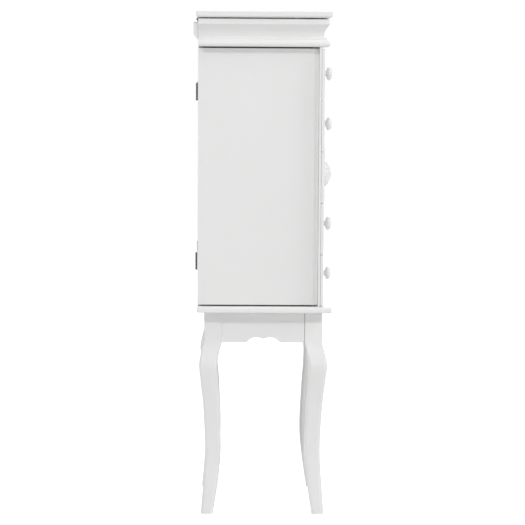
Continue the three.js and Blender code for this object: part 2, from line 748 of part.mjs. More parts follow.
const doorEase = 1.2;
const doorShape = new THREE.Shape();
doorShape.moveTo(doorInnerX, doorFrontY);
doorShape.lineTo(doorX - pullGrooveRim, doorFrontY);
doorShape.bezierCurveTo(
  doorX - pullGrooveRim, doorFrontY + pullGrooveWidth * 0.12,
  doorX - pullGrooveDepth, doorFrontY + pullGrooveWidth * 0.18,
  doorX - pullGrooveDepth, doorFrontY + pullGrooveWidth * 0.36);
doorShape.bezierCurveTo(
  doorX - pullGrooveDepth, doorFrontY + pullGrooveWidth * 0.62,
  doorX, doorFrontY + pullGrooveWidth * 0.7,
  doorX, doorFrontY + pullGrooveWidth);
doorShape.lineTo(doorX, backY - doorEase);
doorShape.lineTo(doorX - doorEase, backY);
doorShape.lineTo(doorInnerX, backY);
addPair(doorRight, doorLeft, "door_panel", post(doorShape, plateZ + doorGap, corniceZ - doorGap), whitePaint);

// ---------------------------------------------------------------------------------------------
// Drawers: a lipped front, an open tray behind it, and a turned knob
// ---------------------------------------------------------------------------------------------

const lipX = stileX - lipSetback;
const trayX = bayX - sideRun;
const plugY = faceY + lipThickness;
const trayY = plugY + plugThickness + seat;
const trayDepth = backInnerY - trayBackGap - trayY;

function drawerFront(z) {
  const lip = uprightBoard(rectangle(-lipX, lipX, z, z + drawerHeight), faceY, lipThickness, lipEase);
  const plug = block(
    [-trayX, plugY - lipEase, z + plugSetback],
    [trayX, plugY + plugThickness, z + drawerHeight - plugSetback]);
  return union([lip, plug]);
}

function drawerTray(z) {
  const top = z + drawerHeight - 2 * plugSetback;
  const outside = block([-trayX, trayY, z], [trayX, trayY + trayDepth, top]);
  const inside = block(
    [-trayX + trayWall, trayY + trayWall, z + trayBottom],
    [trayX - trayWall, trayY + trayDepth - trayWall, top + 1]);
  return subtract(outside, inside);
}

function knob(z) {
  const profile = new THREE.Path();
  profile.moveTo(0, seat);
  profile.lineTo(knobBaseRadius, seat);
  profile.lineTo(knobBaseRadius, 1.8);
  profile.quadraticCurveTo(knobNeckRadius, 3, knobNeckRadius, knobReach * 0.36);
  profile.bezierCurveTo(knobNeckRadius + 1, knobReach * 0.5, knobRadius, knobReach * 0.45,
    knobRadius, knobReach * 0.68);
  profile.bezierCurveTo(knobRadius, knobReach * 0.9, knobRadius * 0.6, knobReach, 0, knobReach);
  const turned = new THREE.LatheGeometry(profile.getPoints(5), 18);
  turned.rotateX(Math.PI);
  return turned.translate(0, faceY, z + drawerHeight / 2);
}

// ---------------------------------------------------------------------------------------------
// Carved ornament: leaves and scrolls round a petalled boss, cut where the drawers part
// ---------------------------------------------------------------------------------------------

// A carved stroke on the drawers' face: a domed section swept along a curve in X and Z.
function stroke(points, width, relief) {
  const curve = new THREE.SplineCurve(points.map(([x, z]) => new THREE.Vector2(x, z)));
  const steps = 10;
  const arcSteps = 4;
  const rings = Array.from({ length: steps + 1 }, (_, s) => {
    const t = s / steps;
    const at = curve.getPoint(t);
    const along = curve.getTangent(t);
    const swell = 0.18 + 0.82 * Math.sin(Math.PI * Math.min(1, 0.12 + 0.88 * t)) ** 0.7;
    return Array.from({ length: arcSteps + 1 }, (_, i) => {
      const angle = Math.PI * i / arcSteps;
      const across = (width / 2) * swell * Math.cos(angle);
      return new THREE.Vector3(
        at.x - along.y * across, faceY - seat - relief * swell * Math.sin(angle), at.y + along.x * across);
    });
  });
  return loft(rings);
}

const flipZ = (points) => points.map(([x, z]) => [x, -z]);
const flipX = (points) => points.map(([x, z]) => [-x, z]);

// A C-scroll that starts beside the boss, arches outwards and curls in on its eye.
function scroll(eye, radius) {
  const turns = Array.from({ length: 6 }, (_, i) => {
    const angle = Math.PI * (0.75 - i / 4);
    const reach = radius * (1 - 0.1 * i);
    return [eye[0] + reach * Math.cos(angle), eye[1] + reach * Math.sin(angle)];
  });
  return [[bossRadius * 0.3, bossRadius * 0.75], ...turns];
}

// The button in a scroll's curl, and the ground that joins it to the middle.
function eyeButton([x, z], radius) {
  const button = new THREE.SphereGeometry(radius, 10, 6);
  button.scale(1, ornamentRelief * 0.7 / radius, 1);
  return intersect(
    button.translate(x, faceY - seat, z),
    block([x - radius, faceY - 2 * ornamentRelief, z - radius], [x + radius, faceY - seat, z + radius]));
}

function ornament() {
  const w = ornamentWidth / 2;
  const h = ornamentHalf;
  const eye = [0.56 * w, 0.47 * h];
  const quarterStrokes = [
    [scroll(eye, 14), 10, ornamentRelief * 0.8],
    [[[0.1 * w, 0.42 * h], [0.22 * w, 0.68 * h], [0.46 * w, 0.86 * h]], 13, ornamentRelief * 0.75],
    [[[0.3 * w, 0.05 * h], [0.62 * w, 0.22 * h], [0.98 * w, 0.12 * h]], 13, ornamentRelief * 0.8],
    [[[0.3 * w, 0.2 * h], [0.6 * w, 0.3 * h], [0.88 * w, 0.36 * h]], 10, ornamentRelief * 0.7],
  ];
  const pieces = [ground(w, h), boss()];
  for (const [line, width, relief] of quarterStrokes) {
    for (const half of [line, flipX(line)]) {
      pieces.push(stroke(half, width, relief), stroke(flipZ(half), width, relief));
    }
  }
  for (const at of [[eye], flipX([eye])]) {
    pieces.push(eyeButton(at[0], 6), eyeButton(flipZ(at)[0], 6));
  }
  const plume = [[0, 0.2 * h], [0, 0.6 * h], [0, h]];
  pieces.push(stroke(plume, 20, ornamentRelief), stroke(flipZ(plume), 20, ornamentRelief));
  return union(pieces);
}

// The thin pointed ground that the leaves are carved out of.
function ground(w, h) {
  const shape = new THREE.Shape();
  shape.moveTo(0, -0.92 * h);
  for (const side of [1, -1]) {
    shape.bezierCurveTo(side * 0.5 * w, -side * 0.86 * h, side * 0.92 * w, -side * 0.62 * h,
      side * 0.76 * w, -side * 0.3 * h);
    shape.quadraticCurveTo(side * 0.7 * w, 0, side * 0.76 * w, side * 0.3 * h);
    shape.bezierCurveTo(side * 0.92 * w, side * 0.62 * h, side * 0.5 * w, side * 0.86 * h,
      0, side * 0.92 * h);
  }
  return uprightBoard(shape, faceY - seat - groundThickness, groundThickness);
}

// A domed flower whose petals swell its outline.
function boss() {
  const around = 40;
  const levels = [[1, 0], [0.98, 0.3], [0.84, 0.62], [0.6, 0.86], [0.3, 0.97], [0.08, 1]];
  const rings = levels.map(([spread, rise]) => Array.from({ length: around }, (_, i) => {
    const angle = 2 * Math.PI * i / around;
    const petal = 1 - 0.09 * spread * (1 - Math.abs(Math.cos(bossPetals * angle / 2)));
    const radius = bossRadius * spread * petal;
    return new THREE.Vector3(
      radius * Math.cos(angle), faceY - seat - (bossReach - seat) * rise, radius * Math.sin(angle));
  }));
  return loft(rings);
}

const carving = ornament().translate(0, 0, middleZ);
const ornamentPlaces = { 1: "lower", 2: "center", 3: "upper" };
for (let n = 0; n < drawerCount; n += 1) {
  const number = drawerCount - n;
  const drawer = addBody();
  const z = frontBottomZ(n);
  addPiece(drawer, `drawer_${number}_front`, drawerFront(z), whitePaint);
  addPiece(drawer, `drawer_${number}_tray`, drawerTray(trayZ(n)), whitePaint);
  if (n in ornamentPlaces) {
    const zone = block([-ornamentWidth, faceY - 2 * bossReach, z], [ornamentWidth, faceY, z + drawerHeight]);
    addPiece(drawer, `ornament_${ornamentPlaces[n]}`, intersect(carving, zone), whitePaint);
  }
  if (number !== 3) {
    addPiece(drawer, `drawer_${number}_knob`, knob(z), whitePaint);
  }
}

export default cabinet;
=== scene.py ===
# %% [markdown]
# # A white jewelry cabinet with a mirror in its lid
#
# The cabinet is white painted wood: a stack of five drawers between two narrow side doors, under a
# moulded cornice and a flip-up lid, on four cabriole legs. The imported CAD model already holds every
# board, hinge and drawer in its true place. This file dresses it: eased edges and paint for the
# boards, and new pieces for what a plain solid can't show, such as carving, turning and velvet.

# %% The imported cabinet, alone in the scene
import json
import math

import bmesh
import bpy
import numpy as np
from mathutils import Matrix, Vector

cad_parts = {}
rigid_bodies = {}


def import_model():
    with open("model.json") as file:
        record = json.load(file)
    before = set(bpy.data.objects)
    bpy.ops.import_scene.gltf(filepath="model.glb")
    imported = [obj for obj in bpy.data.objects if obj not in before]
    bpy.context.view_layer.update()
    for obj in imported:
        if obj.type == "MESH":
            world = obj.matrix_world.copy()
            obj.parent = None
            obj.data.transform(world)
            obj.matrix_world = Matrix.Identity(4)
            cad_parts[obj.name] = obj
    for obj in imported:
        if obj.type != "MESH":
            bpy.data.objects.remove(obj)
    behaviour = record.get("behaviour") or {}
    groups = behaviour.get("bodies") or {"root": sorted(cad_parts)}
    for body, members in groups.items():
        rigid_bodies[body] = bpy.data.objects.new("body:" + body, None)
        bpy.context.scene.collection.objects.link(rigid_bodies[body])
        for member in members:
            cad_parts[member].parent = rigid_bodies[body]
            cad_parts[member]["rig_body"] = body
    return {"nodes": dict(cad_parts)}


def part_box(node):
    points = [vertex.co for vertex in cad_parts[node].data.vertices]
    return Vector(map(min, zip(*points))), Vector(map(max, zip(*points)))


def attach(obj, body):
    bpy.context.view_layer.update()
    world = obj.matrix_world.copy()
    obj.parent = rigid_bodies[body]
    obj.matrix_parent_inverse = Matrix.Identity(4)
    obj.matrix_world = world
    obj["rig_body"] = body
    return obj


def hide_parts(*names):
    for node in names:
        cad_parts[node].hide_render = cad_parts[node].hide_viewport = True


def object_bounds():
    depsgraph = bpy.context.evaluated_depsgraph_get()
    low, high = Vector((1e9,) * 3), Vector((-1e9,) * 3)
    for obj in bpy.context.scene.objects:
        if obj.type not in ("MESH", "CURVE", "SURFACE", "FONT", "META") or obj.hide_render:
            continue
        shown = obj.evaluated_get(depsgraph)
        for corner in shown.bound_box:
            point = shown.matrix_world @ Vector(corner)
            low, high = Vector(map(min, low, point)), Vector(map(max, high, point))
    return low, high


for leftover in list(bpy.data.objects):
    bpy.data.objects.remove(leftover)
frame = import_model()
NODES = frame["nodes"]
CAD_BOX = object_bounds()

# %% Lengths: everything below is in metres
MM = 0.001


def span(node):
    """A node's lowest and highest corner at rest."""
    low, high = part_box(node)
    return np.array(low), np.array(high)


CABINET_LOW, CABINET_HIGH = np.array(CAD_BOX[0]), np.array(CAD_BOX[1])
print("cabinet", np.round((CABINET_HIGH - CABINET_LOW) / MM, 1), "mm")

# %% [markdown]
# ## Shader maths in plain Python
#
# A material is a graph of nodes. Wiring it by hand buries the idea under sockets and links, so a
# `Wire` stands for one socket and behaves like a number: `0.36 + cloud * 0.12` adds two Math
# nodes. `Finish.node` adds any other node from its type, its settings and what its sockets get.


# %% One socket that can be used in sums
class Wire:
    """A socket's value. Arithmetic on it adds Math nodes to its finish."""

    def __init__(self, finish, socket):
        self.finish, self.socket = finish, socket

    def maths(self, operation, *values):
        sockets = dict(enumerate(values))
        return self.finish.node("ShaderNodeMath", {"operation": operation}, sockets)

    def __add__(self, other):
        return self.maths("ADD", self, other)

    def __mul__(self, other):
        return self.maths("MULTIPLY", self, other)

    __radd__ = __add__
    __rmul__ = __mul__


# %% A finish: a material and the wires in it
class Finish:
    """The node tree of a material or world, built one node at a time."""

    def __init__(self, owner):
        owner.use_nodes = True
        self.owner, self.tree = owner, owner.node_tree
        self.tree.nodes.clear()

    def node(self, kind, settings=None, sockets=None, output=0):
        made = self.tree.nodes.new(kind)
        for name, value in (settings or {}).items():
            setattr(made, name, value)
        for name, value in (sockets or {}).items():
            if isinstance(value, Wire):
                self.tree.links.new(value.socket, made.inputs[name])
            else:
                made.inputs[name].default_value = value
        return Wire(self, made.outputs[output]) if len(made.outputs) else None

    def place(self):
        """The point on the piece, in metres. It moves with the piece, as paint does."""
        return self.node("ShaderNodeTexCoord", output="Object")

    def scaled(self, place, factors):
        return self.node("ShaderNodeVectorMath", {"operation": "MULTIPLY"}, {0: place, 1: factors})

    def noise(self, place, scale, detail=2.0, roughness=0.5):
        return self.node("ShaderNodeTexNoise", {"noise_dimensions": "3D"}, {
            "Vector": place, "Scale": scale, "Detail": detail, "Roughness": roughness})

    def blend(self, share, first, second):
        """A colour between two colours."""
        return self.node("ShaderNodeMix", {"data_type": "RGBA"},
                         {0: share, 6: first, 7: second}, output=2)

    def bump(self, height, depth, strength):
        return self.node("ShaderNodeBump", {}, {
            "Height": height, "Distance": depth, "Strength": strength})

    def surface(self, **sockets):
        named = {name.replace("_", " "): value for name, value in sockets.items()}
        shader = self.node("ShaderNodeBsdfPrincipled", {}, named)
        self.node("ShaderNodeOutputMaterial", {}, {"Surface": shader})
        return self.owner


def new_finish(name):
    return Finish(bpy.data.materials.new(name))


print("shader helpers ready")

# %% [markdown]
# ## White paint on wood
#
# The boards are sprayed with a satin white that just hides the wood. Up close it isn't one flat
# colour: the film pulls into fine orange peel, the grain under it shows as faint long lines, and
# the tone drifts a little over a board. Grain runs along a board, so there are three versions of
# the paint, one for each direction that a board can lie in.

# %% Paint whose grain runs along one axis
PAINT_WHITE = (0.800, 0.800, 0.797, 1.0)
PAINT_SHADED = (0.770, 0.770, 0.764, 1.0)
GRAIN_ACROSS = 340.0
GRAIN_ALONG = 9.0
CLOUD_SCALE = 7.0
PEEL_SCALE = 1100.0
PAINT_RELIEF = 0.02 * MM


def white_paint(name, along):
    finish = new_finish(name)
    place = finish.place()
    stretch = [GRAIN_ACROSS] * 3
    stretch[along] = GRAIN_ALONG
    grain = finish.noise(finish.scaled(place, tuple(stretch)), 1.0, detail=3.0, roughness=0.6)
    cloud = finish.noise(place, CLOUD_SCALE, detail=3.0)
    peel = finish.noise(place, PEEL_SCALE, detail=1.0)
    colour = finish.blend(cloud * 0.55 + grain * 0.15, PAINT_WHITE, PAINT_SHADED)
    film = finish.bump(grain * 0.6 + peel * 0.4, PAINT_RELIEF, 0.6)
    return finish.surface(
        Base_Color=colour, Roughness=0.36 + cloud * 0.12, Normal=film, IOR=1.47)


PAINTS = [white_paint(f"white_paint_{word}", axis)
          for axis, word in enumerate(("across", "deep", "upright"))]
print("paints:", ", ".join(paint.name for paint in PAINTS))

# %% [markdown]
# ## Steel, mirror, velvet and rubber
#
# The hinges are stamped from sheet steel and plated dark, so they are smooth but not mirror bright.
# The rings sit in black velvet: its short pile scatters light at grazing angles, which is what the
# shader's sheen is for. The mirror is glass with silver behind it, and its cut edge looks green.


# %% Dark plated steel
def dark_steel():
    finish = new_finish("dark_steel")
    place = finish.place()
    rolled = finish.noise(finish.scaled(place, (900.0, 900.0, 60.0)), 1.0, detail=2.0)
    stain = finish.noise(place, 90.0, detail=3.0)
    colour = finish.blend(stain, (0.17, 0.17, 0.176, 1.0), (0.11, 0.11, 0.115, 1.0))
    return finish.surface(
        Base_Color=colour, Metallic=0.9, Roughness=0.28 + stain * 0.2,
        Normal=finish.bump(rolled, 0.01 * MM, 0.5))


STEEL = dark_steel()


# %% Silvered glass and its edge
def mirror_silver():
    finish = new_finish("mirror_silver")
    dust = finish.noise(finish.place(), 35.0, detail=4.0)
    colour = finish.blend(dust, (0.90, 0.92, 0.915, 1.0), (0.86, 0.88, 0.875, 1.0))
    return finish.surface(Base_Color=colour, Metallic=1.0, Roughness=0.015 + dust * 0.03)


def glass_edge():
    finish = new_finish("glass_edge")
    wave = finish.noise(finish.place(), 300.0)
    colour = finish.blend(wave, (0.22, 0.40, 0.34, 1.0), (0.34, 0.52, 0.46, 1.0))
    return finish.surface(Base_Color=colour, Roughness=0.12 + wave * 0.1)


SILVER, GLASS_EDGE = mirror_silver(), glass_edge()


# %% Black velvet, and clear rubber
def black_velvet():
    finish = new_finish("black_velvet")
    place = finish.place()
    pile = finish.noise(place, 2600.0, detail=2.0)
    brushed = finish.noise(finish.scaled(place, (25.0, 60.0, 40.0)), 1.0, detail=3.0)
    colour = finish.blend(brushed * 0.7 + pile * 0.3,
                          (0.010, 0.010, 0.012, 1.0), (0.034, 0.033, 0.037, 1.0))
    return finish.surface(
        Base_Color=colour, Roughness=0.92, Sheen_Weight=0.55, Sheen_Roughness=0.42,
        Sheen_Tint=(0.55, 0.55, 0.60, 1.0), Normal=finish.bump(pile, 0.25 * MM, 0.8))


def clear_rubber():
    finish = new_finish("clear_rubber")
    haze = finish.noise(finish.place(), 400.0, detail=2.0)
    colour = finish.blend(haze, (0.80, 0.82, 0.80, 1.0), (0.66, 0.68, 0.66, 1.0))
    return finish.surface(Base_Color=colour, Roughness=0.30 + haze * 0.2, Transmission_Weight=0.5)


VELVET, RUBBER = black_velvet(), clear_rubber()
print("finishes:", ", ".join(m.name for m in (STEEL, SILVER, GLASS_EDGE, VELVET, RUBBER)))

# %% [markdown]
# ## Edges that catch the light
#
# A CAD solid arrives as loose triangles with razor edges. Real boards are sanded before painting,
# so each edge is a narrow round that catches a line of light. The solids themselves stay as they
# are. Modifiers weld the triangles, clear flat faces of inner edges, round the sharp edges, and
# shade the rest smooth.


# %% A small geometry-nodes group that welds and smooths
def welding_group():
    group = bpy.data.node_groups.new("weld_and_smooth", "GeometryNodeTree")
    group.interface.new_socket("Geometry", in_out="INPUT", socket_type="NodeSocketGeometry")
    group.interface.new_socket("Geometry", in_out="OUTPUT", socket_type="NodeSocketGeometry")
    start = group.nodes.new("NodeGroupInput")
    weld = group.nodes.new("GeometryNodeMergeByDistance")
    weld.inputs["Distance"].default_value = 0.01 * MM
    forget = group.nodes.new("GeometryNodeRemoveAttribute")
    forget.inputs["Name"].default_value = "custom_normal"
    smooth = group.nodes.new("GeometryNodeSetShadeSmooth")
    end = group.nodes.new("NodeGroupOutput")
    chain = [start, weld, forget, smooth, end]
    for before, after in zip(chain, chain[1:]):
        group.links.new(before.outputs[0], after.inputs[0])
    return group


WELDING = welding_group()


# %% Round the edges of one node
BOARD_EASE = 0.5 * MM
NARROW_EASE = 0.35 * MM
METAL_EASE = 0.15 * MM
RUBBER_EASE = 0.3 * MM
ROUND_STEPS = 3
FLAT_WITHIN = 0.4  # degrees
SHARP_FROM = 28.0  # degrees


def round_edges(piece, radius, sharp_from):
    rounded = piece.modifiers.new("round", "BEVEL")
    rounded.width = radius
    rounded.segments = ROUND_STEPS
    rounded.limit_method = "ANGLE"
    rounded.angle_limit = math.radians(sharp_from)
    rounded.harden_normals = True
    return rounded


def shade_evenly(piece):
    even = piece.modifiers.new("even_shading", "WEIGHTED_NORMAL")
    even.weight = 60


def ease_edges(piece, radius, pocketed=False):
    """A face round a pocket keeps its triangles: one polygon can't hold a hole."""
    welded = piece.modifiers.new("weld", "NODES")
    welded.node_group = WELDING
    if not pocketed:
        flat = piece.modifiers.new("clear_flats", "DECIMATE")
        flat.decimate_type = "DISSOLVE"
        flat.angle_limit = math.radians(FLAT_WITHIN)
    rounded = round_edges(piece, radius, SHARP_FROM)
    rounded.use_clamp_overlap = False
    rounded.miter_outer = "MITER_ARC"
    shade_evenly(piece)


def paint(piece, material):
    piece.data.materials.clear()
    piece.data.materials.append(material)


def grain_axis(node):
    low, high = span(node)
    return int(np.argmax(high - low))


METAL = [name for name in NODES if "hinge_" in name and "leaf" in name] + [
    "magnet_catch_right", "magnet_catch_left"]
for name, piece in NODES.items():
    if name in METAL:
        paint(piece, STEEL)
        ease_edges(piece, METAL_EASE)
    elif name == "lid_mirror":
        paint(piece, SILVER)
    elif name == "ring_cushion":
        paint(piece, VELVET)
    elif name.startswith("lid_bumper"):
        paint(piece, RUBBER)
        ease_edges(piece, RUBBER_EASE)
    else:
        paint(piece, PAINTS[grain_axis(name)])
        narrow = name.startswith("corner_stile") or name.endswith("_front")
        ease_edges(piece, NARROW_EASE if narrow else BOARD_EASE, pocketed=name == "lid_board")
print("painted", len(NODES), "nodes")

# %% [markdown]
# ## New pieces from rings
#
# Turned, carved and moulded parts are all skins stretched over a row of rings, so one function
# makes the closed mesh. Each piece is then given its finish and the body that it rides on, and the
# CAD nodes that it stands for are hidden.


# %% Skin a row of rings
def skin(rings):
    """Vertices and faces of a closed body over equal rings, with a flat cap at each end."""
    rings = np.array(rings)
    rows, count = rings.shape[:2]
    quads = []
    for row in range(rows - 1):
        for i in range(count):
            j = (i + 1) % count
            quads.append((row * count + i, row * count + j,
                          (row + 1) * count + j, (row + 1) * count + i))
    caps = [tuple(range(count))[::-1], tuple((rows - 1) * count + i for i in range(count))]
    return rings.reshape(-1, 3).tolist(), quads + caps


def rounded_rectangle(low, high, radius, steps, inset=0.0):
    """Points (u, v) round a rectangle with round corners, drawn in by the inset."""
    ring = []
    for quarter, (u, v) in enumerate(((high[0], high[1]), (low[0], high[1]),
                                      (low[0], low[1]), (high[0], low[1]))):
        inward_u = -1 if u == high[0] else 1
        inward_v = -1 if v == high[1] else 1
        centre = (u + inward_u * (radius + inset), v + inward_v * (radius + inset))
        for step in range(steps + 1):
            angle = math.pi / 2 * (quarter + step / steps)
            ring.append((centre[0] + radius * math.cos(angle),
                         centre[1] + radius * math.sin(angle)))
    return ring


def join_parts(parts):
    """Several (vertices, faces) as one."""
    vertices, faces = [], []
    for points, polygons in parts:
        start = len(vertices)
        vertices.extend(points)
        faces.extend(tuple(start + i for i in face) for face in polygons)
    return vertices, faces


# %% Turn vertices and faces into a piece of the cabinet
def make_object(name, vertices, faces, smooth=True):
    mesh = bpy.data.meshes.new(name)
    mesh.from_pydata(vertices, [], faces)
    shape = bmesh.new()
    shape.from_mesh(mesh)
    bmesh.ops.recalc_face_normals(shape, faces=shape.faces)
    shape.to_mesh(mesh)
    shape.free()
    mesh.polygons.foreach_set("use_smooth", [smooth] * len(mesh.polygons))
    piece = bpy.data.objects.new(name, mesh)
    bpy.context.scene.collection.objects.link(piece)
    return piece


def body_of(node):
    return NODES[node]["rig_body"]


def finish_piece(piece, material, like=None, body=None, replaces=()):
    """Paints a piece, ties it to its body and hides the nodes it stands for."""
    if not piece.data.materials:
        piece.data.materials.append(material)
    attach(piece, body or body_of(like))
    if replaces:
        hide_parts(*replaces)
    return piece


print("piece helpers ready")

# %% [markdown]
# ## Turned knobs
#
# A knob is turned on a lathe: a small foot, a waist, and a mushroom head. Its shape is one
# profile spun round the screw's axis. A finer profile than the CAD's gives it a bead over the
# foot and a crisp shoulder, within the same length and radius.

# %% Spin a profile round an axis
KNOB_STEPS = 48
OUT_OF_DRAWERS = (0, -1, 0)


def turning_axes(outward):
    """The lathe's axis, and two directions across it."""
    outward = np.array(outward, float)
    side = np.roll(np.abs(outward), 1)
    return outward, side, np.cross(outward, side)


def turned(profile, centre, steps=KNOB_STEPS, outward=OUT_OF_DRAWERS):
    """Profile rows are (radius, distance along outward from the centre)."""
    outward, side, up = turning_axes(outward)
    angles = np.linspace(0, 2 * math.pi, steps, endpoint=False)
    return skin([[np.array(centre) + out * outward
                  + radius * (math.cos(a) * side + math.sin(a) * up) for a in angles]
                 for radius, out in profile])


def smooth_line(points, per_span):
    """A Catmull-Rom line through the points, with per_span steps between two of them."""
    points = np.array(points, float)
    ends = np.vstack([2 * points[0] - points[1], points, 2 * points[-1] - points[-2]])
    line = []
    for i in range(1, len(ends) - 2):
        a, b, c, d = ends[i - 1:i + 3]
        for step in range(per_span):
            t = step / per_span
            line.append(0.5 * (2 * b + (c - a) * t + (2 * a - 5 * b + 4 * c - d) * t ** 2
                               + (3 * b - a - 3 * c + d) * t ** 3))
    line.append(points[-1])
    return np.array(line)


def knob(node):
    low, high = span(node)
    radius, reach = (high[0] - low[0]) / 2, high[1] - low[1]
    centre = ((low[0] + high[0]) / 2, high[1], (low[2] + high[2]) / 2)
    foot = [(0.001, 0.0), (0.64, 0.0), (0.64, 0.05), (0.60, 0.08)]
    head = smooth_line([(0.60, 0.08), (0.44, 0.12), (0.37, 0.22), (0.36, 0.34), (0.44, 0.43),
                        (0.72, 0.50), (0.96, 0.60), (1.0, 0.68), (0.97, 0.77), (0.82, 0.90),
                        (0.50, 0.98), (0.001, 1.0)], 5)
    profile = [(radius * r, reach * out) for r, out in [*foot, *head[1:].tolist()]]
    piece = make_object(f"{node}_turned", *turned(profile, centre))
    return finish_piece(piece, PAINTS[1], like=node, replaces=[node])


knobs = [knob(f"drawer_{number}_knob") for number in (1, 2, 4, 5)]
print("knobs:", len(knobs))

# %% [markdown]
# ## The carving
#
# Three drawers carry one carved ornament: acanthus plumes above and below, wings and C-scrolls
# at the sides, and a flower in the middle. A carver cuts it from one block and then saws it
# where the drawers part. Here each leaf is its own skin, a voxel remesh fuses them into one
# block with soft inner corners, and that block is cut at the gaps between the drawers.

# %% Where the carving stands
carving_low, carving_high = span("ornament_center")
CARVING_BACK = carving_high[1]
CARVING_MIDDLE = (carving_low[2] + carving_high[2]) / 2
HALF_WIDTH = 66 * MM
HALF_HEIGHT = span("ornament_upper")[1][2] - CARVING_MIDDLE
RELIEF = 9 * MM
GROUND_THICK = 2.5 * MM
CARVING_VOXEL = 0.85 * MM
BOSS_RADIUS = 28 * MM
BOSS_REACH = carving_high[1] - carving_low[1]
print("carving reaches", round(HALF_HEIGHT / MM, 1), "mm above and below its middle")


# %% A carved leaf: lobed edges, a sunk midrib, veins and a raised tip
def stations(line):
    """The share of the way, the point and the direction, at each point of a line."""
    tangents = np.gradient(line, axis=0)
    tangents /= np.linalg.norm(tangents, axis=1)[:, None]
    return zip(np.linspace(0, 1, len(line)), line, tangents)


def carved_point(at, along, side, height):
    """The point that far beside a line's point, and that high over the drawers' face."""
    return (at[0] - along[1] * side, CARVING_BACK - height,
            CARVING_MIDDLE + at[1] + along[0] * side)


def leaf(line, width, relief, lobes, across=15):
    """A leaf on the drawers' face. The line's points are (x, z) from the carving's middle."""
    rings = []
    for share, at, along in stations(smooth_line(line, 16)):
        swell = 0.18 + 0.82 * math.sin(math.pi * min(1.0, 0.12 + 0.88 * share)) ** 0.7
        lobe = (share * lobes) % 1.0
        edge = swell * (0.80 + 0.20 * math.sin(math.pi * lobe ** 0.75))
        ring = []
        for u in np.linspace(-1, 1, across):
            dome = (1 - u * u * 0.82) ** 0.5
            vein = 0.90 + 0.10 * math.cos(2 * math.pi * (share * lobes - 0.9 * abs(u)))
            rib = 0.20 * math.exp(-(u / 0.14) ** 2)
            height = relief * swell * (dome * vein - rib)
            ring.append(carved_point(at, along, 0.5 * width * edge * u, height))
        ring += [carved_point(at, along, 0.5 * width * edge * u, 0.0) for u in (1, -1)]
        rings.append(ring)
    return skin(rings)


def four_ways(line, make):
    """The same stroke in the four quarters of the carving."""
    line = np.array(line)
    return [make(line * (x, z)) for x in (1, -1) for z in (1, -1)]


# %% A scroll that curls in on its button
def scroll_line(eye, radius):
    turns = [(eye[0] + radius * (1 - 0.085 * i) * math.cos(math.pi * (0.75 - i / 4)),
              eye[1] + radius * (1 - 0.085 * i) * math.sin(math.pi * (0.75 - i / 4)))
             for i in range(7)]
    return [(BOSS_RADIUS * 0.3, BOSS_RADIUS * 0.75), *turns]


def scroll_band(line, width, relief):
    """A rounded band with two sunk lines along it, as a gouge leaves them."""
    rings = []
    for share, at, along in stations(smooth_line(line, 14)):
        taper = 1.0 - 0.45 * share
        ring = []
        for u in np.linspace(-1, 1, 13):
            sunk = 0.16 * math.exp(-((abs(u) - 0.42) / 0.14) ** 2)
            height = relief * (1 - 0.25 * share) * ((1 - u * u * 0.8) ** 0.5 - sunk)
            ring.append(carved_point(at, along, 0.5 * width * taper * u, height))
        ring += [carved_point(at, along, 0.5 * width * taper * u, 0.0) for u in (1, -1)]
        rings.append(ring)
    return skin(rings)


# %% The flower: two rows of petals round a button
OUTER_ROW = 0.56  # shares of the boss's radius
BUTTON = 0.25


def flower():
    around = 144
    rings = [[(BOSS_RADIUS * math.cos(a), CARVING_BACK, CARVING_MIDDLE + BOSS_RADIUS * math.sin(a))
              for a in np.linspace(0, 2 * math.pi, around, endpoint=False)]]
    for spread in np.linspace(1.0, 0.02, 44):
        ring = []
        for angle in np.linspace(0, 2 * math.pi, around, endpoint=False):
            outer = abs(math.cos(4 * angle))
            inner = abs(math.sin(4 * angle))
            radius = BOSS_RADIUS * spread * (1 - 0.09 * spread * (1 - outer))
            dome = (1 - spread ** 2.6) ** 0.62
            if spread > OUTER_ROW:
                petal = 1.0 - 0.16 * (1 - outer ** 0.45) - 0.06 * math.exp(-((1 - outer) / 0.08) ** 2)
                rise = (0.12 + 0.80 * dome) * petal
            elif spread > BUTTON:
                petal = 1.0 - 0.10 * (1 - inner ** 0.45) - 0.05 * math.exp(-((1 - inner) / 0.08) ** 2)
                cup = 1 - 0.10 * math.cos(math.pi * (spread - BUTTON) / (OUTER_ROW - BUTTON)) ** 2
                rise = (0.10 + 0.86 * dome) * petal * cup
            else:
                rise = 0.90 + 0.10 * (1 - (spread / BUTTON) ** 2) ** 0.5
            ring.append((radius * math.cos(angle), CARVING_BACK - BOSS_REACH * rise,
                         CARVING_MIDDLE + radius * math.sin(angle)))
        rings.append(ring)
    return skin(rings)


# %% The thin ground that joins the leaves
def ground():
    w, h = HALF_WIDTH, HALF_HEIGHT
    quarter = smooth_line([(0.0, 0.92 * h), (0.36 * w, 0.82 * h), (0.70 * w, 0.58 * h),
                           (0.76 * w, 0.30 * h), (0.73 * w, 0.0)], 8)
    right = np.vstack([quarter, quarter[-2::-1] * (1, -1)])
    left = right[-2:0:-1] * (-1, 1)
    outline = np.vstack([right, left])
    return skin([[(x, CARVING_BACK - out, CARVING_MIDDLE + z) for x, z in outline]
                 for out in (0.0, GROUND_THICK)])


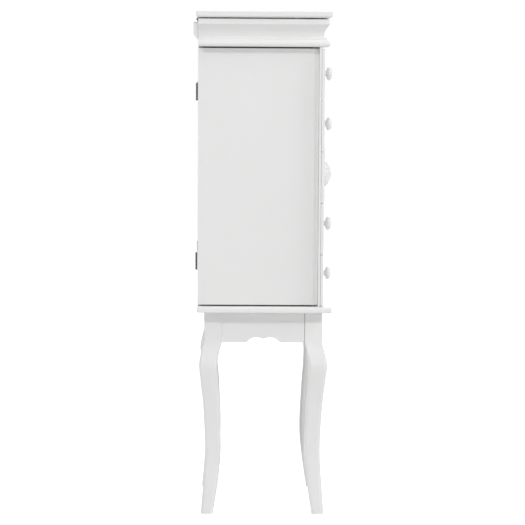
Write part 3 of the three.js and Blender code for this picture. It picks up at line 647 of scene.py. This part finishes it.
# %% Fuse the carving into one block
def carving_block():
    w, h = HALF_WIDTH, HALF_HEIGHT
    eye = (0.56 * w, 0.47 * h)
    strokes = [flower(), ground()]
    strokes += four_ways(scroll_line(eye, 14 * MM),
                         lambda line: scroll_band(line, 10 * MM, 0.8 * RELIEF))
    for line, width, relief, lobes in [
            ([(0.1, 0.42), (0.22, 0.68), (0.46, 0.86)], 13 * MM, 0.75 * RELIEF, 3),
            ([(0.3, 0.05), (0.62, 0.22), (0.98, 0.12)], 13 * MM, 0.8 * RELIEF, 4),
            ([(0.3, 0.2), (0.6, 0.3), (0.88, 0.36)], 10 * MM, 0.7 * RELIEF, 3)]:
        strokes += four_ways([(x * w, z * h) for x, z in line],
                             lambda at, a=width, b=relief, c=lobes: leaf(at, a, b, c))
    for up in (1, -1):
        strokes.append(leaf([(0, up * 0.2 * h), (0, up * 0.6 * h), (0, up * 0.985 * h)],
                            20 * MM, RELIEF, 5, across=23))
    for x in (eye[0], -eye[0]):
        for z in (eye[1], -eye[1]):
            strokes.append(turned([(6.0 * MM * math.cos(b), 6.3 * MM * math.sin(b)) for b in
                                   np.linspace(0, 0.98 * math.pi / 2, 9)],
                                  (x, CARVING_BACK, CARVING_MIDDLE + z), steps=24))
    block = make_object("carving_block", *join_parts(strokes))
    fuse = block.modifiers.new("fuse", "REMESH")
    fuse.mode = "VOXEL"
    fuse.voxel_size = CARVING_VOXEL
    soften = block.modifiers.new("soften", "SMOOTH")
    soften.factor = 0.5
    soften.iterations = 2
    return block


def applied(piece):
    """The piece's mesh with its modifiers applied."""
    seen = piece.evaluated_get(bpy.context.evaluated_depsgraph_get())
    return bpy.data.meshes.new_from_object(seen)


block = carving_block()
bpy.context.view_layer.update()
fused = applied(block)
bpy.data.objects.remove(block)
print("carving:", len(fused.polygons), "faces")


# %% Saw it where the drawers part
def sawn(node):
    low, high = span(node)
    shape = bmesh.new()
    shape.from_mesh(fused)
    for level, out in ((low[2], -1), (high[2], 1)):
        everything = list(shape.verts) + list(shape.edges) + list(shape.faces)
        cut = bmesh.ops.bisect_plane(shape, geom=everything, plane_co=(0, 0, level),
                                     plane_no=(0, 0, out), clear_outer=True)
        rim = [e for e in cut["geom_cut"] if isinstance(e, bmesh.types.BMEdge)]
        if rim:
            bmesh.ops.holes_fill(shape, edges=rim, sides=0)
    bmesh.ops.recalc_face_normals(shape, faces=shape.faces)
    mesh = bpy.data.meshes.new(f"{node}_carved")
    shape.to_mesh(mesh)
    shape.free()
    mesh.polygons.foreach_set("use_smooth", [len(p.vertices) < 5 for p in mesh.polygons])
    piece = bpy.data.objects.new(f"{node}_carved", mesh)
    bpy.context.scene.collection.objects.link(piece)
    return finish_piece(piece, PAINTS[2], like=node, replaces=[node])


carved = [sawn(node) for node in ("ornament_upper", "ornament_center", "ornament_lower")]
print("carved pieces:", [len(piece.data.polygons) for piece in carved])

# %% [markdown]
# ## The doors' shaped front edge
#
# Each side door is one board whose outer face dips in a long soft curve towards its front edge, so
# that fingers can reach behind it. The light runs off that dip as a darker band, 14 mm wide. It
# needs more steps than a CAD solid affords, so the door is drawn again as one section, stacked
# from bottom to top with a narrow ease at both ends.

# %% One section of a door, stacked upwards
DIP_CURVE = [(0.3, 2.3), (1.5, 2.45), (3.0, 2.5), (4.5, 2.3), (6.5, 1.5), (8.5, 0.7), (11.0, 0.15),
             (14.0, 0.0)]
DIP_AT_EDGE = 2.3 * MM
DOOR_EASE = 0.2 * MM
DOOR_END = [(0.0, 1.0), (0.18 * MM, 0.3), (DOOR_EASE, 0.0)]  # height, share of the ease taken off


def door_section():
    """Points (distance from the front edge, depth below the outer face), all the way round."""
    low, high = span("door_panel_right")
    wide, thick = high[1] - low[1], high[0] - low[0]
    dip = smooth_line(DIP_CURVE, 4) * MM
    corner = [(DOOR_EASE * (1 - math.cos(a)), DIP_AT_EDGE + DOOR_EASE * (1 - math.sin(a)))
              for a in np.linspace(0, math.pi / 2, 5)]
    dip = [*corner, *dip.tolist()]
    back = [(wide - DOOR_EASE * (1 - math.sin(a)), DOOR_EASE * (1 - math.cos(a)))
            for a in np.linspace(0, math.pi / 2, 5)]
    inner = [(wide, thick - DOOR_EASE), (wide - DOOR_EASE, thick),
             (DOOR_EASE, thick), (0, thick - DOOR_EASE)]
    return [*dip, *back, *inner]


def shaped_door(side):
    node = f"door_panel_{side}"
    low, high = span(node)
    outer = high[0] if side == "right" else -low[0]
    sign = 1 if side == "right" else -1
    section = np.array(door_section())
    middle = (section.max(axis=0) + section.min(axis=0)) / 2
    half = section.max(axis=0) - middle
    levels = [(low[2] + rise, shrink) for rise, shrink in DOOR_END]
    levels += [(high[2] - rise, shrink) for rise, shrink in DOOR_END[::-1]]
    rings = []
    for level, shrink in levels:
        drawn_in = middle + (section - middle) * (1 - shrink * DOOR_EASE / half)
        rings.append([(sign * (outer - depth), low[1] + along, level) for along, depth in drawn_in])
    piece = make_object(f"{node}_shaped", *skin(rings))
    shade_evenly(piece)
    return finish_piece(piece, PAINTS[2], like=node, replaces=[node])


doors = [shaped_door(side) for side in ("right", "left")]
print("doors:", len(doors))

# %% [markdown]
# ## The aprons' scalloped edge
#
# Between the legs the side and front aprons are cut to two low humps that meet in a soft point. A
# band saw leaves that line smooth, so it is drawn here as one curve with many points, and the
# apron is that outline pushed straight through the board's thickness. A small bevel rounds both
# its edges, as sanding does.

# %% Two humps over the lower edge
HUMPS = [(0.0, 7.1), (3.0, 7.7), (7.5, 9.4), (12.5, 10.3), (17.5, 10.0), (22.5, 8.4), (26.5, 6.1),
         (30.5, 2.7), (33.2, 0.0)]
SIDE_HUMPS_HALF = 33.2
FRONT_HUMPS_HALF = 48
SAWN_SHARP_FROM = 40.0  # degrees


def apron_outline(length, height, stretch):
    """Points (along, up) round the board, with the humps in the middle of its lower edge."""
    half = smooth_line(HUMPS, 5) * (stretch, 1.0)
    lower = np.vstack([half[::-1] * (-1, 1), half[1:]]) * MM
    ends = [(length / 2, 0.0), (length / 2, height), (-length / 2, height), (-length / 2, 0.0)]
    return np.vstack([lower, ends])


def sawn_apron(name, along, stretch):
    """along is the axis that the board runs along: 0 for the front one, 1 for a side one."""
    node = f"apron_{name}"
    low, high = span(node)
    through = 1 - along
    outline = apron_outline(high[along] - low[along], high[2] - low[2], stretch)
    rings = []
    for depth in (low[through], high[through]):
        ring = np.full((len(outline), 3), depth)
        ring[:, along] = (low[along] + high[along]) / 2 + outline[:, 0]
        ring[:, 2] = low[2] + outline[:, 1]
        rings.append(ring)
    piece = make_object(f"{node}_sawn", *skin(rings))
    round_edges(piece, BOARD_EASE, SAWN_SHARP_FROM)
    shade_evenly(piece)
    return finish_piece(piece, PAINTS[along], like=node, replaces=[node])


FRONT_STRETCH = FRONT_HUMPS_HALF / SIDE_HUMPS_HALF
aprons = [sawn_apron("right", 1, 1.0), sawn_apron("left", 1, 1.0),
          sawn_apron("front", 0, FRONT_STRETCH)]
print("aprons:", len(aprons))

# %% [markdown]
# ## The ring cushion
#
# Rings stand in the slots between soft rolls: sleeves of velvet filled with foam, laid side by
# side in the lid's compartment. A filled sleeve is round in the middle and gathered at its ends.
# One sleeve is drawn a little slack, and a cloth simulation blows it up from inside by about a
# millimetre, as filling does. The six rolls are that one, flipped and gathered in different ways.

# %% One slack sleeve
cushion_low, cushion_high = span("ring_cushion")
ROLLS = 6
ROLL_PITCH = (cushion_high[1] - cushion_low[1]) / ROLLS
ROLL_HALF = (cushion_high[0] - cushion_low[0]) / 2
ROLL_HEIGHT = cushion_high[2] - cushion_low[2]
ROLL_GAP = 0.05 * MM
SIDE_SLACK = 1.2 * MM
END_SLACK = 1.6 * MM
SLEEVE_VOXEL = 2.0 * MM
SWELL_CAP = 1.2 * MM
FILLING_FRAMES = 20
SLEEVE_MASS = 0.002
FILLING_PRESSURE = 4.0
VELVET_STIFFNESS = 0.35  # a roll this small hardly swells at the stiffness of a seat's cloth


def slack_sleeve():
    half = ROLL_HALF - END_SLACK
    rings = []
    for share in np.sin(np.linspace(-math.pi / 2, math.pi / 2, 49)):
        full = 0.30 + 0.70 * (1 - abs(share) ** 7) ** 0.5
        ring = []
        for angle in np.linspace(0, 2 * math.pi, 40, endpoint=False):
            c, s = math.cos(angle), math.sin(angle)
            bend = (abs(c) ** 2.3 + abs(s) ** 2.3) ** (-1 / 2.3)
            ring.append((half * share, (ROLL_PITCH / 2 - SIDE_SLACK) * full * bend * c,
                         (ROLL_HEIGHT / 2 - SIDE_SLACK) * full * bend * s))
        rings.append(ring)
    return skin(rings)


# %% Blow it up with cloth pressure
def filled_sleeve():
    """Points and faces of the filled sleeve. A quick try leaves it slack."""
    sleeve = make_object("sleeve", *slack_sleeve())
    cells = sleeve.modifiers.new("cells", "REMESH")
    cells.mode = "VOXEL"
    cells.voxel_size = SLEEVE_VOXEL
    bpy.context.view_layer.update()
    mesh = applied(sleeve)
    sleeve.modifiers.clear()
    sleeve.data = mesh
    cloth = sleeve.modifiers.new("filling", "CLOTH")
    cloth.settings.mass = SLEEVE_MASS
    cloth.settings.use_pressure = True
    cloth.settings.uniform_pressure_force = FILLING_PRESSURE
    cloth.settings.effector_weights.gravity = 0.0
    cloth.settings.tension_stiffness = VELVET_STIFFNESS
    cloth.settings.compression_stiffness = VELVET_STIFFNESS
    cloth.settings.shear_stiffness = VELVET_STIFFNESS
    slack = np.array([v.co for v in mesh.vertices])
    for number in range(1, FILLING_FRAMES + 1):
        bpy.context.scene.frame_set(number)
    blown = applied(sleeve)
    sleeve.modifiers.clear()
    moved = np.array([v.co for v in blown.vertices]) - slack
    far = np.linalg.norm(moved, axis=1, keepdims=True)
    print("filling moved the velvet by up to", round(float(far.max()) / MM, 2), "mm")
    moved *= np.minimum(1.0, SWELL_CAP / np.maximum(far, 1e-9))
    mesh.vertices.foreach_set("co", (slack + moved).ravel())
    finer = sleeve.modifiers.new("finer", "SUBSURF")
    finer.levels = finer.render_levels = 1
    bpy.context.view_layer.update()
    mesh = applied(sleeve)
    bpy.data.objects.remove(sleeve)
    points = np.array([v.co for v in mesh.vertices])
    return points, [tuple(p.vertices) for p in mesh.polygons]


# %% Gather the ends, and lay six rolls in a row
def gathered(points, folds, phase):
    """Folds that run in from the two sewn ends and fade out."""
    near_end = np.exp(-(ROLL_HALF - np.abs(points[:, 0])) / (7 * MM))
    angle = np.arctan2(points[:, 2], points[:, 1])
    pinch = 1 - 0.055 * near_end * (0.5 + 0.5 * np.cos(folds * angle + phase))
    crease = 1 - 0.012 * np.cos(3.1 * points[:, 0] / (20 * MM) + 2.0 * angle + phase)
    return points * np.column_stack([np.ones(len(points)), pinch * crease, pinch * crease])


def ring_rolls():
    points, faces = filled_sleeve()
    limit = np.array([ROLL_HALF, ROLL_PITCH / 2 - ROLL_GAP, ROLL_HEIGHT / 2])
    parts = []
    for number in range(ROLLS):
        flip = np.array([(-1) ** number, 1, (-1) ** (number // 2)])
        roll = gathered(points * flip, 11 + number % 3, 1.7 * number)
        roll = roll * np.minimum(1.0, limit / np.abs(roll).max(axis=0))
        centre = (0.0, cushion_low[1] + ROLL_PITCH * (number + 0.5),
                  (cushion_low[2] + cushion_high[2]) / 2)
        parts.append(((roll + centre).tolist(), faces))
    piece = make_object("ring_rolls", *join_parts(parts))
    return finish_piece(piece, VELVET, like="ring_cushion", replaces=["ring_cushion"])


cushion = ring_rolls()
print("ring rolls:", len(cushion.data.polygons), "faces")

# %% [markdown]
# ## Velvet linings
#
# Jewelry scratches paint, and paint scratches jewelry, so each tray and each bay beside the rings
# is lined with a thin piece of the same velvet. It is cut a little small, laid flat and glued, so
# its face is almost level, with a soft edge where the pile stands over the cut.

# %% Lay a cut of velvet on a level
LINING_THICK = 0.9 * MM
LINING_CELLS = 28
SOFT_EDGE = 0.6 * MM
GLUE = 0.02 * MM


def lining(name, corner_low, corner_high, level, rests_on):
    """A thin closed sheet from one (x, y) corner to the other, lying on that level."""
    (x0, y0), (x1, y1) = corner_low, corner_high
    rings = []
    shares = [0.0, 0.0, *np.linspace(0.01, 0.99, LINING_CELLS), 1.0, 1.0]
    for row, share in enumerate(shares):
        edge_row = row in (0, len(shares) - 1)
        across = np.linspace(0, 1, LINING_CELLS)
        top, under = [], []
        for u in across:
            at_edge = min(u, 1 - u, share, 1 - share) * min(x1 - x0, y1 - y0)
            soft = min(1.0, at_edge / SOFT_EDGE)
            wave = 0.06 * math.sin(9 * u + 4 * share) * math.sin(7 * share - 2 * u)
            rise = LINING_THICK * (0.45 + 0.45 * soft + wave * soft)
            if edge_row:
                rise = LINING_THICK * 0.2
            x, y = x0 + (x1 - x0) * u, y0 + (y1 - y0) * share
            top.append((x, y, level + rise))
            under.append((x, y, level + GLUE))
        rings.append(top + under[::-1])
    piece = make_object(name, *skin(rings))
    x1 - x0
    y1 - y0
    return finish_piece(piece, VELVET, like=rests_on)


# %% Line the trays and the compartment's bays
TRAY_WALL = 6 * MM
TRAY_BOTTOM = 4 * MM
LINING_MARGIN = 0.6 * MM
BAY_MARGIN = 2 * LINING_MARGIN
INSERT_WALL = 5 * MM
BACK_BAY_FROM = 68 * MM
linings = []
for number in range(1, 6):
    tray = f"drawer_{number}_tray"
    low, high = span(tray)
    inset = TRAY_WALL + LINING_MARGIN
    linings.append(lining(f"drawer_{number}_lining", (low[0] + inset, low[1] + inset),
                          (high[0] - inset, high[1] - inset), low[2] + TRAY_BOTTOM, tray))

shelf_low, shelf_high = span("compartment_floor")
insert_low, insert_high = span("compartment_insert")
bays = [
    ("right", insert_high[0] + BAY_MARGIN, shelf_high[0] - BAY_MARGIN, shelf_low[1] + BAY_MARGIN),
    ("left", shelf_low[0] + BAY_MARGIN, insert_low[0] - BAY_MARGIN, shelf_low[1] + BAY_MARGIN),
    ("back", insert_low[0] + INSERT_WALL + BAY_MARGIN, insert_high[0] - INSERT_WALL - BAY_MARGIN,
     BACK_BAY_FROM)]
for word, x0, x1, y0 in bays:
    linings.append(lining(f"compartment_{word}_lining", (x0, y0),
                          (x1, shelf_high[1] - BAY_MARGIN), shelf_high[2], "compartment_floor"))
print("linings:", len(linings))

# %% [markdown]
# ## The mirror in the lid
#
# A mirror is glass with silver on its back, and its rim is ground to a shallow bevel that bends
# the reflection in a bright frame. The face and the bevel are given the silver finish, and the cut
# edge the green one, so no see-through glass is needed.

# %% A bevelled plate
MIRROR_BEVEL = 12 * MM
MIRROR_DIP = 0.9 * MM
MIRROR_CORNER = 2.5 * MM
MIRROR_ARRIS = 0.2 * MM


def level_ring(low, high, inset, level, corner):
    return [(x, y, level) for x, y in rounded_rectangle(low, high, corner, 5, inset)]


def bevelled_mirror():
    low, high = span("lid_mirror")
    rings = [level_ring(low, high, inset, level, MIRROR_CORNER) for inset, level in (
        (0.0, high[2]), (0.0, low[2] + MIRROR_DIP + MIRROR_ARRIS),
        (MIRROR_ARRIS, low[2] + MIRROR_DIP), (MIRROR_BEVEL, low[2]))]
    piece = make_object("lid_mirror_bevelled", *skin(rings), smooth=False)
    for material in (SILVER, GLASS_EDGE):
        piece.data.materials.append(material)
    around = len(rings[0])
    for face in piece.data.polygons[:2 * around]:
        face.material_index = 1
    return finish_piece(piece, SILVER, like="lid_mirror", replaces=["lid_mirror"])


bevelled_mirror()
print("mirror bevel", round(MIRROR_BEVEL / MM), "mm")

# %% [markdown]
# ## Necklace rails
#
# Behind each door a rail holds six turned pegs for necklaces. A peg has a collar where it enters
# the rail, a waist for the chain and a ball that keeps it on. The rail's two long front edges are
# rounded.

# %% A rail with six pegs
PEGS = 6
PEG_RADIUS = 4.4 * MM
PEG_END = 15.5 * MM
RAIL_THICK = 9 * MM
RAIL_EASE = 2.2 * MM
RAIL_END = 0.6 * MM


def eased_bar(low, high):
    """A bar along Y whose four long edges are rounded."""
    section = rounded_rectangle((low[0], low[2]), (high[0], high[2]), RAIL_EASE, 6)
    middle = ((low[0] + high[0]) / 2, (low[2] + high[2]) / 2)
    return skin([[(middle[0] + (x - middle[0]) * shrink, y, middle[1] + (z - middle[1]) * shrink)
                  for x, z in section]
                 for y, shrink in ((low[1], 0.9), (low[1] + RAIL_END, 1),
                                   (high[1] - RAIL_END, 1), (high[1], 0.9))])


def peg_rail(side):
    node = f"hook_rail_{side}"
    low, high = span(node)
    bar_low, bar_high = low.copy(), high.copy()
    if side == "right":
        sign = 1
        face = bar_high[0] = low[0] + RAIL_THICK
    else:
        sign = -1
        face = bar_low[0] = high[0] - RAIL_THICK
    parts = [eased_bar(bar_low, bar_high)]
    reach = high[0] - low[0] - RAIL_THICK
    shape = smooth_line([(0.95, -0.02), (0.95, 0.06), (0.80, 0.11), (0.50, 0.18), (0.44, 0.38),
                         (0.48, 0.58), (0.70, 0.68), (0.95, 0.78), (0.90, 0.90), (0.55, 0.985),
                         (0.01, 1.0)], 4)
    profile = [(PEG_RADIUS * max(r, 0.002), reach * min(out, 1.0)) for r, out in shape.tolist()]
    for y in np.linspace(low[1] + PEG_END, high[1] - PEG_END, PEGS):
        centre = (face, y, (low[2] + high[2]) / 2)
        parts.append(turned(profile, centre, steps=28, outward=(sign, 0, 0)))
    piece = make_object(f"{node}_turned", *join_parts(parts))
    return finish_piece(piece, PAINTS[1], like=node, replaces=[node])


rails = [peg_rail(side) for side in ("right", "left")]
print("rails:", len(rails), "with", PEGS, "pegs each")

# %% [markdown]
# ## Screws and magnet catches
#
# Each hinge leaf is held by small cross-head screws whose heads stand a quarter of a millimetre
# over it. A magnet catch is a magnet between two steel strips, whose ends touch a thin plate on
# the door. All of these are small, but they show as soon as a door or the lid is open.

# %% A screw head with a cross in it
SCREW_RADIUS = 2.2 * MM
SCREW_RISE = 0.25 * MM
SCREW_SUNK = 0.05 * MM


def screw_head(centre, outward):
    outward, side, up = turning_axes(outward)
    around = np.linspace(0, 2 * math.pi, 48, endpoint=False)
    rings = [[np.array(centre) - SCREW_SUNK * outward
              + SCREW_RADIUS * (math.cos(a) * side + math.sin(a) * up) for a in around]]
    for share in (1.0, 0.93, 0.82, 0.68, 0.60, 0.54, 0.45, 0.33, 0.22, 0.12, 0.02):
        ring = []
        for a in around:
            off_arm = share * min(abs(math.sin(a)), abs(math.cos(a)))
            sunk = 0.9 if (off_arm < 0.13 and share < 0.62) else 0.0
            rise = SCREW_RISE * ((1 - (share * 0.96) ** 4) ** 0.5 - sunk)
            ring.append(np.array(centre) + rise * outward
                        + SCREW_RADIUS * share * (math.cos(a) * side + math.sin(a) * up))
        rings.append(ring)
    return skin(rings)


def screws(name, heads, like):
    piece = make_object(name, *join_parts([screw_head(at, outward) for at, outward in heads]))
    return finish_piece(piece, STEEL, like=like)


# %% Screws on every leaf
LEAF_THICK = 1 * MM
DOOR_SCREW_INSET = 5.4 * MM  # from the leaf's edge beside the gap between frame and door
DOOR_SCREW_SPREAD = 11 * MM
LID_SCREW_INSET = 6 * MM
LID_SCREW_SPREAD = 16 * MM


def door_leaf_screws(node, leaf_of, side):
    low, high = span(node)
    edges = (abs(low[0]), abs(high[0]))
    x = min(edges) + DOOR_SCREW_INSET if leaf_of == "frame" else max(edges) - DOOR_SCREW_INSET
    x = x if side == "right" else -x
    middle = (low[2] + high[2]) / 2
    heads = [((x, low[1] + LEAF_THICK, middle + z), (0, 1, 0))
             for z in (-DOOR_SCREW_SPREAD, DOOR_SCREW_SPREAD)]
    return screws(f"{node}_screws", heads, node)


def lid_leaf_screws(node):
    low, high = span(node)
    middle = (low[0] + high[0]) / 2
    heads = [((middle + x, low[1] + LID_SCREW_INSET, high[2] - LEAF_THICK), (0, 0, -1))
             for x in (-LID_SCREW_SPREAD, 0.0, LID_SCREW_SPREAD)]
    return screws(f"{node}_screws", heads, node)


fasteners = []
for side in ("right", "left"):
    for level in ("upper", "lower"):
        for leaf_of in ("frame", "door"):
            node = f"door_hinge_{level}_{leaf_of}_leaf_{side}"
            fasteners.append(door_leaf_screws(node, leaf_of, side))
    fasteners.append(lid_leaf_screws(f"lid_hinge_lid_leaf_{side}"))
print("screwed leaves:", len(fasteners))


# %% Magnet catches and their plates
CHAMFER = 0.2 * MM
STRIP_THICK = 1.4 * MM
MAGNET_GAP = 0.05 * MM
MAGNET_INSET = 1.5 * MM
PLATE_PROFILE = [(7.6, -0.05), (7.6, 0.10), (7.4, 0.17), (3.4, 0.17), (2.4, 0.02), (2.2, 0.02),
                 (1.9, 0.12), (0.01, 0.14)]


def chamfered_box(low, high):
    return skin([level_ring(low, high, inset, level, 0.3 * MM)
                 for inset, level in ((CHAMFER, low[2]), (0.0, low[2] + CHAMFER),
                                      (0.0, high[2] - CHAMFER), (CHAMFER, high[2]))])


def magnet_catch(side):
    """Two strips over the catch's full reach, and a shorter magnet between them."""
    node = f"magnet_catch_{side}"
    low, high = span(node)
    inner, outer = (low[0], high[0]) if side == "right" else (high[0], low[0])
    bars = []
    for x0, x1, y0, y1, inset in (
            (0.0, 1.0, low[1], low[1] + STRIP_THICK, 0.0),
            (0.0, 1.0, high[1] - STRIP_THICK, high[1], 0.0),
            (0.04, 0.93, low[1] + STRIP_THICK + MAGNET_GAP, high[1] - STRIP_THICK - MAGNET_GAP,
             MAGNET_INSET)):
        xs = sorted((inner + (outer - inner) * x0, inner + (outer - inner) * x1))
        bars.append(chamfered_box((xs[0], y0, low[2] + inset), (xs[1], y1, high[2] - inset)))
    piece = make_object(f"{node}_strips", *join_parts(bars), smooth=False)
    return finish_piece(piece, STEEL, like=node, replaces=[node])


def strike_plate(side):
    catch_low, catch_high = span(f"magnet_catch_{side}")
    door_low, door_high = span(f"door_panel_{side}")
    inner, inward = (door_low[0], -1) if side == "right" else (door_high[0], 1)
    centre = (inner, (catch_low[1] + catch_high[1]) / 2, (catch_low[2] + catch_high[2]) / 2)
    profile = [(radius * MM, out * MM) for radius, out in PLATE_PROFILE]
    piece = make_object(f"strike_plate_{side}", *turned(profile, centre, 40, (inward, 0, 0)))
    return finish_piece(piece, STEEL, like=f"door_panel_{side}")


catches = [magnet_catch(side) for side in ("right", "left")]
plates = [strike_plate(side) for side in ("right", "left")]
print("catches:", len(catches), "plates:", len(plates))

# %% [markdown]
# ## Floor, light and camera
#
# The picture is a studio shot on white. A white surround and three wide soft boxes, at the front
# and at both sides, light the cabinet evenly. One small lamp, high on the camera's left, throws
# the cornice's shadow down the door. The floor is pale; it shows as white to the camera, and
# still takes the cabinet's shadow.

# %% The floor
FLOOR_RADIUS = 40.0
FLOOR_POINTS = 64
FLOOR_SHOWN = 0.75


def seen_by(finish, *kinds):
    """1 for these kinds of ray, and 0 for all others."""
    first, *others = [finish.node("ShaderNodeLightPath", output=f"Is {kind} Ray") for kind in kinds]
    for other in others:
        first = first.maths("MAXIMUM", first, other)
    return first


def pale_floor():
    finish = new_finish("pale_floor")
    mottle = finish.noise(finish.place(), 3.0)
    colour = finish.blend(mottle, (0.80, 0.80, 0.80, 1.0), (0.78, 0.78, 0.78, 1.0))
    matt = finish.node("ShaderNodeBsdfDiffuse", {}, {"Color": colour})
    lit = finish.node("ShaderNodeEmission", {}, {"Color": (1, 1, 1, 1), "Strength": FLOOR_SHOWN})
    both = finish.node("ShaderNodeAddShader", {}, {0: matt, 1: lit})
    seen = finish.node("ShaderNodeMixShader", {},
                       {0: seen_by(finish, "Camera", "Glossy"), 1: matt, 2: both})
    finish.node("ShaderNodeOutputMaterial", {}, {"Surface": seen})
    return finish.owner


rim = [(FLOOR_RADIUS * math.cos(a), FLOOR_RADIUS * math.sin(a), 0.0)
       for a in np.linspace(0, 2 * math.pi, FLOOR_POINTS, endpoint=False)]
floor = make_object("floor", rim, [tuple(range(FLOOR_POINTS))], smooth=False)
floor.data.materials.append(pale_floor())


# %% The white surround
SURROUND_SHOWN = 1.0
SURROUND_LIGHT = 0.34


def white_surround():
    world = bpy.data.worlds.new("white_surround")
    finish = Finish(world)
    seen = finish.node("ShaderNodeBackground", {},
                       {"Color": (1, 1, 1, 1), "Strength": SURROUND_SHOWN})
    light = finish.node("ShaderNodeBackground", {},
                        {"Color": (1, 1, 1, 1), "Strength": SURROUND_LIGHT})
    shown = seen_by(finish, "Camera", "Glossy", "Transmission")
    mixed = finish.node("ShaderNodeMixShader", {}, {0: shown, 1: light, 2: seen})
    finish.node("ShaderNodeOutputWorld", {}, {"Surface": mixed})
    return world


bpy.context.scene.world = white_surround()

# %% The lamps: a small key, high on the camera's left, and three soft boxes
LAMP_DISTANCE = 6.0
LAMPS_AIM_AT = Vector((0, 0, 0.6))


def lamp(name, direction, size, energy):
    data = bpy.data.lights.new(name, "AREA")
    data.shape = "DISK"
    data.size = size
    data.energy = energy
    made = bpy.data.objects.new(name, data)
    direction = Vector(direction).normalized()
    made.location = LAMPS_AIM_AT + direction * LAMP_DISTANCE
    made.rotation_mode = "QUATERNION"
    made.rotation_quaternion = direction.to_track_quat("Z", "Y")
    bpy.context.scene.collection.objects.link(made)
    print(name, "at", [round(x, 2) for x in made.location])


lamp("key_lamp", (-0.62, 0.50, 0.61), size=0.75, energy=134.0)
lamp("front_softbox", (-0.20, -0.80, 0.57), size=2.6, energy=175.0)
lamp("side_softbox", (-0.94, -0.30, 0.14), size=3.0, energy=40.0)
lamp("far_softbox", (0.92, -0.10, 0.38), size=3.0, energy=80.0)

# %% The camera: far off to the cabinet's left, a little above its middle
CAMERA_AT = Vector((-5.0484, 0.0834, 0.9056))
CAMERA_YAW = math.radians(-0.955)
CAMERA_DOWN = math.radians(4.699)
CAMERA_ROLL = math.radians(0.344)
CAMERA_LENS = 169.21
SENSOR_WIDTH = 36.0
SEEN_AS_FAR_AS = 200.0
forward = Vector((math.cos(CAMERA_DOWN) * math.cos(CAMERA_YAW),
                  math.cos(CAMERA_DOWN) * math.sin(CAMERA_YAW), -math.sin(CAMERA_DOWN)))
level = Vector((math.sin(CAMERA_YAW), -math.cos(CAMERA_YAW), 0.0))
above = level.cross(forward)
right = math.cos(CAMERA_ROLL) * level + math.sin(CAMERA_ROLL) * above
up = math.cos(CAMERA_ROLL) * above - math.sin(CAMERA_ROLL) * level
camera_data = bpy.data.cameras.new("camera")
camera_data.sensor_width = SENSOR_WIDTH
camera_data.lens = CAMERA_LENS
camera_data.clip_end = SEEN_AS_FAR_AS
camera = bpy.data.objects.new("camera", camera_data)
turn = Matrix((right, up, -forward)).transposed().to_4x4()
camera.matrix_world = Matrix.Translation(CAMERA_AT) @ turn
bpy.context.scene.collection.objects.link(camera)
bpy.context.scene.camera = camera
bpy.context.scene.view_settings.view_transform = "Standard"
print("camera lens", camera_data.lens, "mm")

# %% Bring the scene up to date
bpy.context.view_layer.update()
